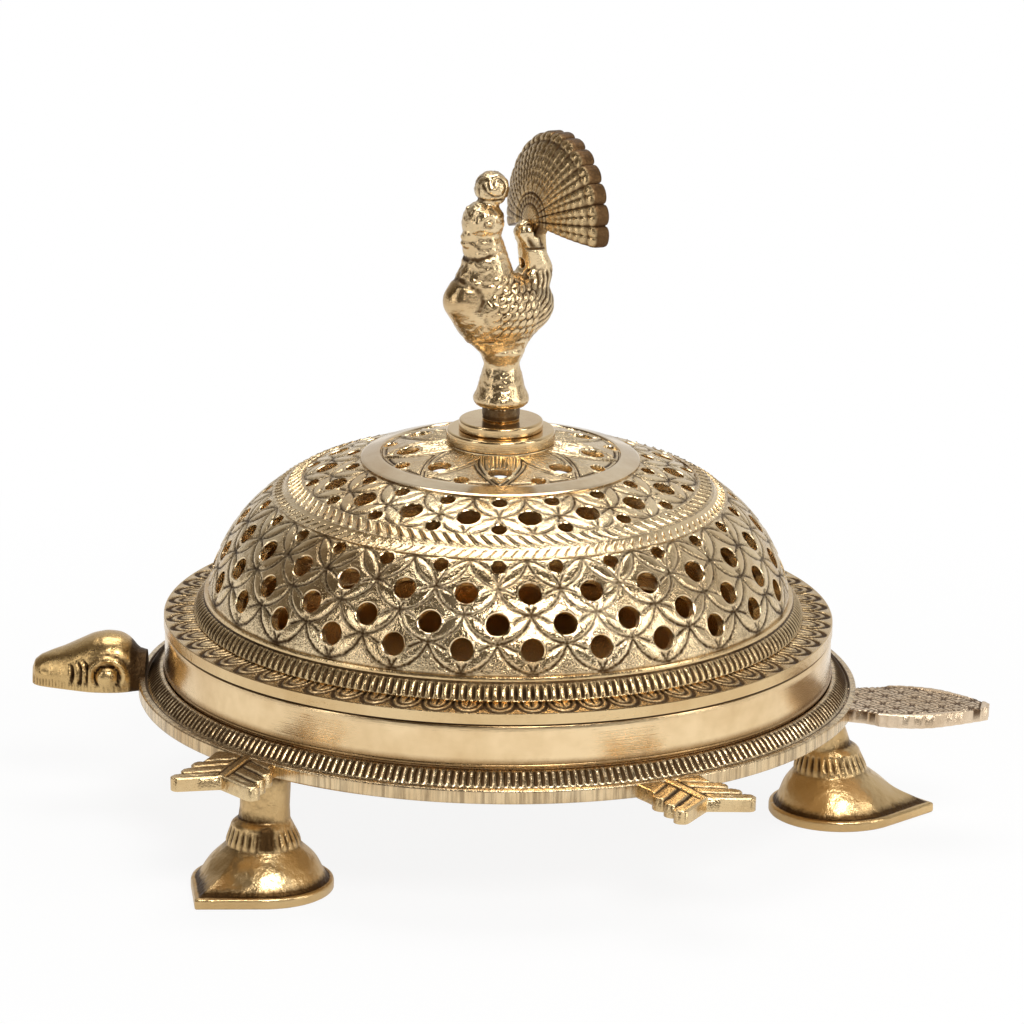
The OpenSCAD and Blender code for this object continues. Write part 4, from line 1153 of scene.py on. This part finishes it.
# Peacock -----------------------------------------------------------------------------------------
# A solid casting on a flared pedestal, worn soft by hand. Rows of oval beads run down its wing,
# curved barbs cover the rump, and the round head has a ringed eye, a beak and a curled crest.
bird_finish = metal(
    "Peacock brass", (0.82, 0.64, 0.39), (0.1, 0.058, 0.026), (0.2, 0.44), grain,
    reach=1.25, blotches=0.5, size=700.0, depth=0.24, dents=0.6,
)
bird_turn = math.radians(-145)
bird_seat = pan_axis + Vector((0, 0, stack_top * MM))
bird_place = Matrix.Translation(bird_seat) @ Matrix.Rotation(bird_turn, 4, "Z")
bird_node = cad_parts["peacock_body"]
bird = bpy.data.objects.new("peacock_body_casting", bird_node.data.copy())
bpy.context.scene.collection.objects.link(bird)
bird.data.transform(bird_node.matrix_world)
bird.data.transform(bird_place.inverted())
bird.data.materials.clear()
skinned = bird.modifiers.new("Skin", "REMESH")
skinned.mode = "VOXEL"
skinned.voxel_size = 0.36 * MM
rounding = bird.modifiers.new("Rounding", "SMOOTH")
rounding.iterations, rounding.factor = 9, 0.6
graph = bpy.context.evaluated_depsgraph_get()
skin = bpy.data.meshes.new_from_object(bird.evaluated_get(graph), depsgraph=graph)
bird.modifiers.clear()
bird.data = skin


def read(data, what):
    """A vector for each vertex."""
    values = np.zeros(len(data) * 3)
    data.foreach_get(what, values)
    return values.reshape(-1, 3)


def beads_on(u, v, long, wide):
    """Rows of oval beads, each row set half a bead on from the next."""
    row = np.floor(v / wide)
    a = (u / long + 0.5 * (row % 2)) % 1 - 0.5
    b = v / wide - row - 0.5
    return np.sqrt(np.clip(1 - (a * 2) ** 2 - (b * 2) ** 2, 0, 1))


points, normals = read(skin.vertices, "co") / MM, read(skin.vertex_normals, "vector")
x, y, z = points.T
out = np.abs(y)
uneven = np.array([noise_at(Vector(p) * 0.55) + 0.6 * noise_at(Vector(p) * 1.3) for p in points])
worn = 0.75 + 0.5 * np.clip(uneven, -0.5, 0.5)
# Where the wing, the rump, the ball on the breast and the tail's stem lie, each 1 inside
wing = soft_step(z, 25.0, 27.0) * (1 - soft_step(z, 43.0, 46.0)) * ramp(np.abs(normals[:, 1]), 0.25, 0.55)
wing *= soft_step(x, -11.0, -9.0) * (1 - soft_step(x, 6.0, 8.5))
rump = soft_step(-x, 6.0, 9.0) * soft_step(z, 22.0, 25.0) * (1 - soft_step(z, 42, 44.5))
ball_gap = np.sqrt((x - 12.6) ** 2 + y**2 + (z - 36.2) ** 2)
ball = 1 - soft_step(ball_gap, 6.6, 7.0)
stem = soft_step(-x, 5.0, 7.0) * soft_step(z, 43.5, 45.5)
plain = (1 - wing) * (1 - rump) * (1 - ball) * (1 - stem) * soft_step(z, 20.0, 24.0)
# Wing and rump
feather_tilt = math.radians(-48)
u, v = turned(x, z - 33, -feather_tilt)
lift = wing * worn * (0.75 * beads_on(u + 0.5 * uneven, v + 0.4 * uneven, 3.4, 2.0) - 0.5)
barbs = wave(np.hypot(x + 4.5, z - 41.0) + 0.25 * uneven, 1.7)
lift = lift * (1 - rump) - rump * worn * 0.55 * barbs**1.3
lift += 0.26 * uneven * plain
lift += cut(ball_gap - 7.1, 0.55, 0.4) * (x > 6) * (z > 34)
lift += cut(z - 24.4 - 0.4 * uneven, 0.5, 0.25) * (np.abs(x) < 11)
# Eye, beak, brow and throat
to_eye = np.hypot(x - 8.0, z - 59.2)
eye = 0.3 * np.sqrt(np.clip(1 - (to_eye / 0.9) ** 2, 0, 1))
eye += cut(to_eye - 1.25, 0.28, 0.3) + ridge(to_eye - 2.1, 0.5, 0.12)
lift += eye * soft_step(out, 2.2, 3.2) * (z > 53) * (z < 66)
beak = soft_step(x, 9.5, 11.5) * soft_step(z, 49.5, 51.0) * (1 - soft_step(z, 57.5, 59.0))
lift += beak * (0.25 + cut(z - 53.6 - 0.3 * uneven, 0.5, 0.4)) * (out < 3.4)
lift += ridge(z - 61.6 - 0.25 * (x - 7), 0.7, 0.35) * (x > 3) * (out > 1)
lift += cut(z - 50.2 + 0.3 * (x - 6), 0.8, 0.45) * soft_step(x, 3.0, 7.0)
# Crest, curled into a spiral on both sides and nicked along its edge
crest = soft_step(z, 65.2, 66.6)
curl = np.hypot(x - 4.4, z - 69.6)
spiral = (curl - 0.42 * np.arctan2(z - 69.6, x - 4.4)) % 2.64 - 1.32
lift += crest * cut(spiral, 0.3, 0.42) * soft_step(out, 1.2, 2.2) * soft_step(curl, 0.6, 1.2)
nicks = 0.5 - 0.5 * np.cos(np.arctan2(y, x - 4.0) * 15)
lift -= crest * 0.16 * nicks * (1 - soft_step(out, 1.6, 2.4))
lift += cut(z - 65.0, 0.4, 0.35) * (z > 60)
# Ribs at the end of the tail's stem, and lines round the pedestal
stem_end = stem * soft_step(z, 49.6, 50.6)
lift += stem_end * (0.3 - 0.55 * wave(y + 0.25 * (z - 50), 1.5))
lift += cut(z - 49.6, 0.35, 0.5) * stem
lift += (cut(z - 4.1, 0.4, 0.35) + cut(z - 0.9, 0.3, 0.2)) * (z < 8)
# The pedestal swells at its foot and under the body, and is waisted between
form = (0.16 * uneven + ridge(z - 6.4, 2.6, 0.75) + cut(z - 15.8, 2.6, 0.45)) * (z > 4.5) * (z < 22)
form += ridge(z - 20.6, 2.0, 0.6) * (z > 17) - 0.18 * plain * soft_step(z, 36.0, 44.0)
points += normals * (lift + form)[:, None]
skin.vertices.foreach_set("co", (points * MM).ravel())
dark_foot = 0.6 * (z > 0.3) * (z < 3.8)
shade = np.clip(1.0 + (lift - 0.06) / 0.62 - dark_foot - 0.3 * stem_end, 0, 1)
skin.attributes.new("relief", "FLOAT", "POINT").data.foreach_set("value", shade.astype(np.float32))
skin.materials.append(bird_finish)
skin.transform(Matrix.Translation(-pan_axis) @ bird_place)
seat(bird, "lid", "peacock_body", crease=None)

# Fan -----------------------------------------------------------------------------------------------
# The spread tail is a separate casting on a dished plate: fourteen round ended feathers with cross
# barbs, gathered in a cuff. Its tang lies in the back of the tail stem and is riveted there.
fan_finish = metal(
    "Fan brass", (0.62, 0.45, 0.24), (0.12, 0.066, 0.028), (0.24, 0.44), grain,
    reach=1.2, blotches=0.4, size=700.0, depth=0.15, dents=0.35,
)
fan_r, fan_thick, fan_dish, feathers = 25.2, 4.2, 46.0, 14
fan_span, fan_roll = math.radians(204), math.radians(5)
fan_root = Vector((-8.0, 0, 57.0))
fan_place = bird_place @ Matrix.Translation(fan_root * MM) @ Matrix.Rotation(math.radians(-3), 4, "Y")
cuff_end, barbs_from, barb_every = 8.4, 9.9, 2.15


def dished(y, z, lift):
    """Points on the fan's dished plate, a lift away from its front."""
    return np.stack([-fan_dish + np.sqrt(np.maximum((fan_dish + lift) ** 2 - y**2 - z**2, 1)), y, z], axis=2)


def slab(name, front, back, front_relief, back_relief, crease):
    """A closed piece of the fan between two faces of the same net."""
    n, m, _ = front.shape
    size = n * m
    edge = list(range(m)) + [i * m + m - 1 for i in range(1, n)]
    edge += [(n - 1) * m + j for j in range(m - 2, -1, -1)] + [i * m for i in range(n - 2, 0, -1)]
    faces = quads(n, m)
    faces += [(size + a, size + d, size + c, size + b) for a, b, c, d in faces]
    faces += [(a, b, size + b, size + a) for a, b in zip(edge, edge[1:] + edge[:1])]
    relief = np.concatenate([front_relief.ravel(), back_relief.ravel()])
    piece = cast(name, np.vstack([front.reshape(-1, 3), back.reshape(-1, 3)]), faces, fan_finish, relief)
    piece.data.transform(Matrix.Translation(-pan_axis) @ fan_place)
    seat(piece, "lid", "peacock_fan", crease)


lane = np.linspace(0, feathers, feathers * 14 + 1)
angle = math.pi / 2 + fan_roll + fan_span / 2 - lane * fan_span / feathers
from_quill = np.abs((lane % 1) - 0.5)
scallop = fan_r - 0.95 + 0.9 * np.sqrt(np.clip(1 - (from_quill * 2) ** 2, 0, 1))
end_rows = 0.94 + 0.06 * np.sin(np.linspace(0, math.pi / 2, 9))[1:]
rows = np.concatenate([np.linspace(0.02, 0.94, 38), end_rows])
reach = rows[:, None] * scallop
round_top = np.sqrt(np.clip(1 - (from_quill * 2) ** 3.2, 0, 1))
between_feathers = 0.5 * ramp(reach, 0, 9) * (1 - round_top)
cross_barbs = wave(reach + 1.8 * from_quill, barb_every) * ramp(reach, barbs_from - 1.5, barbs_from)
quill = cut(from_quill * reach * fan_span / feathers, 0.28, 0.34) * ramp(reach, 10, 13)
front = quill - between_feathers - 0.3 * cross_barbs * (reach < fan_r - 2.4)
front += cut(reach - fan_r + 2.6, 0.4, 0.3) - 0.12 * (reach < cuff_end)
for cuff_ring in (5.0, 6.5, 8.0):
    front += cut(reach - cuff_ring, 0.4, 0.5)
rounded_tip = 1 - np.sqrt(1 - ramp(rows, 0.955, 1.0) ** 2)[:, None]
front -= rounded_tip + 0.05
rear = -0.35 * between_feathers - 0.8 * rounded_tip - 0.05
y, z = reach * np.cos(angle), reach * np.sin(angle)
back = dished(y, z, -fan_thick - rear)
slab("peacock_fan_casting", dished(y, z, front), back, 1 + front / 0.9, 1 + rear / 0.7, 55)

tang_long, tang_columns, tang_rows = 15.0, 17, 40
across = np.linspace(-1, 1, tang_columns)
down = np.linspace(3.0, 0.05 - tang_long, tang_rows)[:, None]
y = np.interp(down, [-15, -3.5, -1, 3], [3.0, 3.15, 4.9, 5.0]) * across
z = np.repeat(down, tang_columns, axis=1)
ribbed = -0.45 * wave(across, 1 / 3) * ramp(down, -6, -4)
ribbed -= 0.35 * (1 - np.sqrt(np.clip(1 - np.abs(across) ** 6, 0, 1))) + 0.12
back = dished(y, z, -fan_thick - 0.5 * ribbed)
slab("peacock_fan_tang", dished(y, z, ribbed), back, 1 + ribbed / 0.6, np.full(z.shape, 0.8), 50)

# Finial fixing -----------------------------------------------------------------------------------------
# Inside the dome a brass washer and nut hold the stud. A brass rivet fixes the fan's tang.
finished(collar_finish, "finial_washer", "finial_nut", "fan_rivet")

# Floor, lights and camera --------------------------------------------------------------------------------
# A plain pale floor in a studio: a bright paper sweep behind, a dim room in front of it with a
# large soft box above the camera, a tall one at either side and one overhead.
white, amber, shown_in_metal = (1, 1, 1, 1), (1.0, 0.76, 0.48, 1), 0.45
floor_mat = bpy.data.materials.new("Pale floor")
floor_mat.use_nodes = True
tree = floor_mat.node_tree
paint = tree.nodes["Principled BSDF"]
paint.inputs["Base Color"].default_value = (0.84, 0.84, 0.835, 1)
paint.inputs["Roughness"].default_value = 0.9
paint.inputs["Specular IOR Level"].default_value = 0.0
glow, pick = tree.nodes.new("ShaderNodeEmission"), tree.nodes.new("ShaderNodeMixShader")
ray = tree.nodes.new("ShaderNodeLightPath").outputs
glow.inputs["Color"].default_value = white
glow.inputs["Strength"].default_value = 1.0
seen = sums(tree, "MAXIMUM", ray["Is Glossy Ray"], ray["Is Transmission Ray"])
seen = sums(tree, "MAXIMUM", ray["Is Camera Ray"], sums(tree, "MULTIPLY", seen, shown_in_metal))
at = put(tree, "ShaderNodeTexCoord", out=3)
from_middle = put(tree, "ShaderNodeVectorMath", at, operation="LENGTH", out=1)
off_shadow = graded(tree, from_middle, 0.1, 0.36, 0.89, 1.0)
tree.links.new(sums(tree, "MULTIPLY", seen, off_shadow), pick.inputs[0])
tree.links.new(paint.outputs[0], pick.inputs[1])
tree.links.new(glow.outputs[0], pick.inputs[2])
tree.links.new(pick.outputs[0], tree.nodes["Material Output"].inputs["Surface"])
bpy.ops.mesh.primitive_plane_add(size=8)
floor = bpy.context.object
floor.name = "floor"
floor.data.materials.append(floor_mat)

world = bpy.data.worlds.new("Studio")
bpy.context.scene.world = world
world.use_nodes = True
tree = world.node_tree
sky = tree.nodes["Background"]
look = tree.nodes.new("ShaderNodeSeparateXYZ")
tree.links.new(put(tree, "ShaderNodeTexCoord", out=0), look.inputs[0])
to_right, to_back, up = look.outputs
room, paper = 0.065, 0.64
sweep = graded(tree, to_back, -0.25, 0.65, 0.0, 1.0)
ceiling = graded(tree, up, 0.97, 0.55, 0.25, 1.0)
dark_left = graded(tree, to_right, -0.95, -0.1, 0.3, 1.0)
lit = sums(tree, "MULTIPLY", sweep, ceiling)
wall = sums(tree, "MULTIPLY", lit, sums(tree, "MULTIPLY", dark_left, paper))
wall = sums(tree, "ADD", room, wall)
table = sums(tree, "MULTIPLY", graded(tree, up, 0.05, 0.11, 1.0, 0.0), 0.98)
bright = sums(tree, "MAXIMUM", wall, table)
tree.links.new(bright, sky.inputs["Strength"])
pale = graded(tree, bright, 0.06, 0.42, 0.0, 1.0, soft=False)
tree.links.new(blended(tree, pale, amber, white), sky.inputs["Color"])

# Each lamp's place, width, height and power
for name, place, wide, tall, power in (
    ("Box above", (0.42, -1.05, 1.15), 0.55, 0.5, 13.5),
    ("Box left", (-1.0, -0.75, 0.62), 0.22, 0.9, 2.0),
    ("Box right", (1.05, -0.35, 0.55), 0.3, 0.8, 3.2),
    ("Box overhead", (-0.05, 0.35, 1.3), 0.9, 0.7, 8.5),
):
    data = bpy.data.lights.new(name, "AREA")
    data.shape, data.size, data.size_y, data.energy = "RECTANGLE", wide, tall, power
    lamp = bpy.data.objects.new(name, data)
    lamp.location = place
    lamp.rotation_euler = (Vector((0, 0, 0.08)) - Vector(place)).to_track_quat("-Z", "Y").to_euler()
    bpy.context.scene.collection.objects.link(lamp)

lens_mm, sensor_mm, far, rise, roll = 270.8, 36.0, 2.2, math.radians(16.16), math.radians(0.8)
from_right, from_front = 0.0872, -0.9962
aim = Vector((-0.243, 0.307, 88.49)) * MM
back = Vector((from_right * math.cos(rise), from_front * math.cos(rise), math.sin(rise)))
eye_data = bpy.data.cameras.new("Camera")
eye_data.lens, eye_data.sensor_width = lens_mm, sensor_mm
eye = bpy.data.objects.new("Camera", eye_data)
eye.location = aim + back * far
level = (-back).to_track_quat("-Z", "Y").to_matrix().to_4x4()
eye.rotation_euler = (level @ Matrix.Rotation(roll, 4, "Z")).to_euler()
bpy.context.scene.collection.objects.link(eye)
bpy.context.scene.camera = eye
bpy.context.scene.view_settings.view_transform = "Standard"
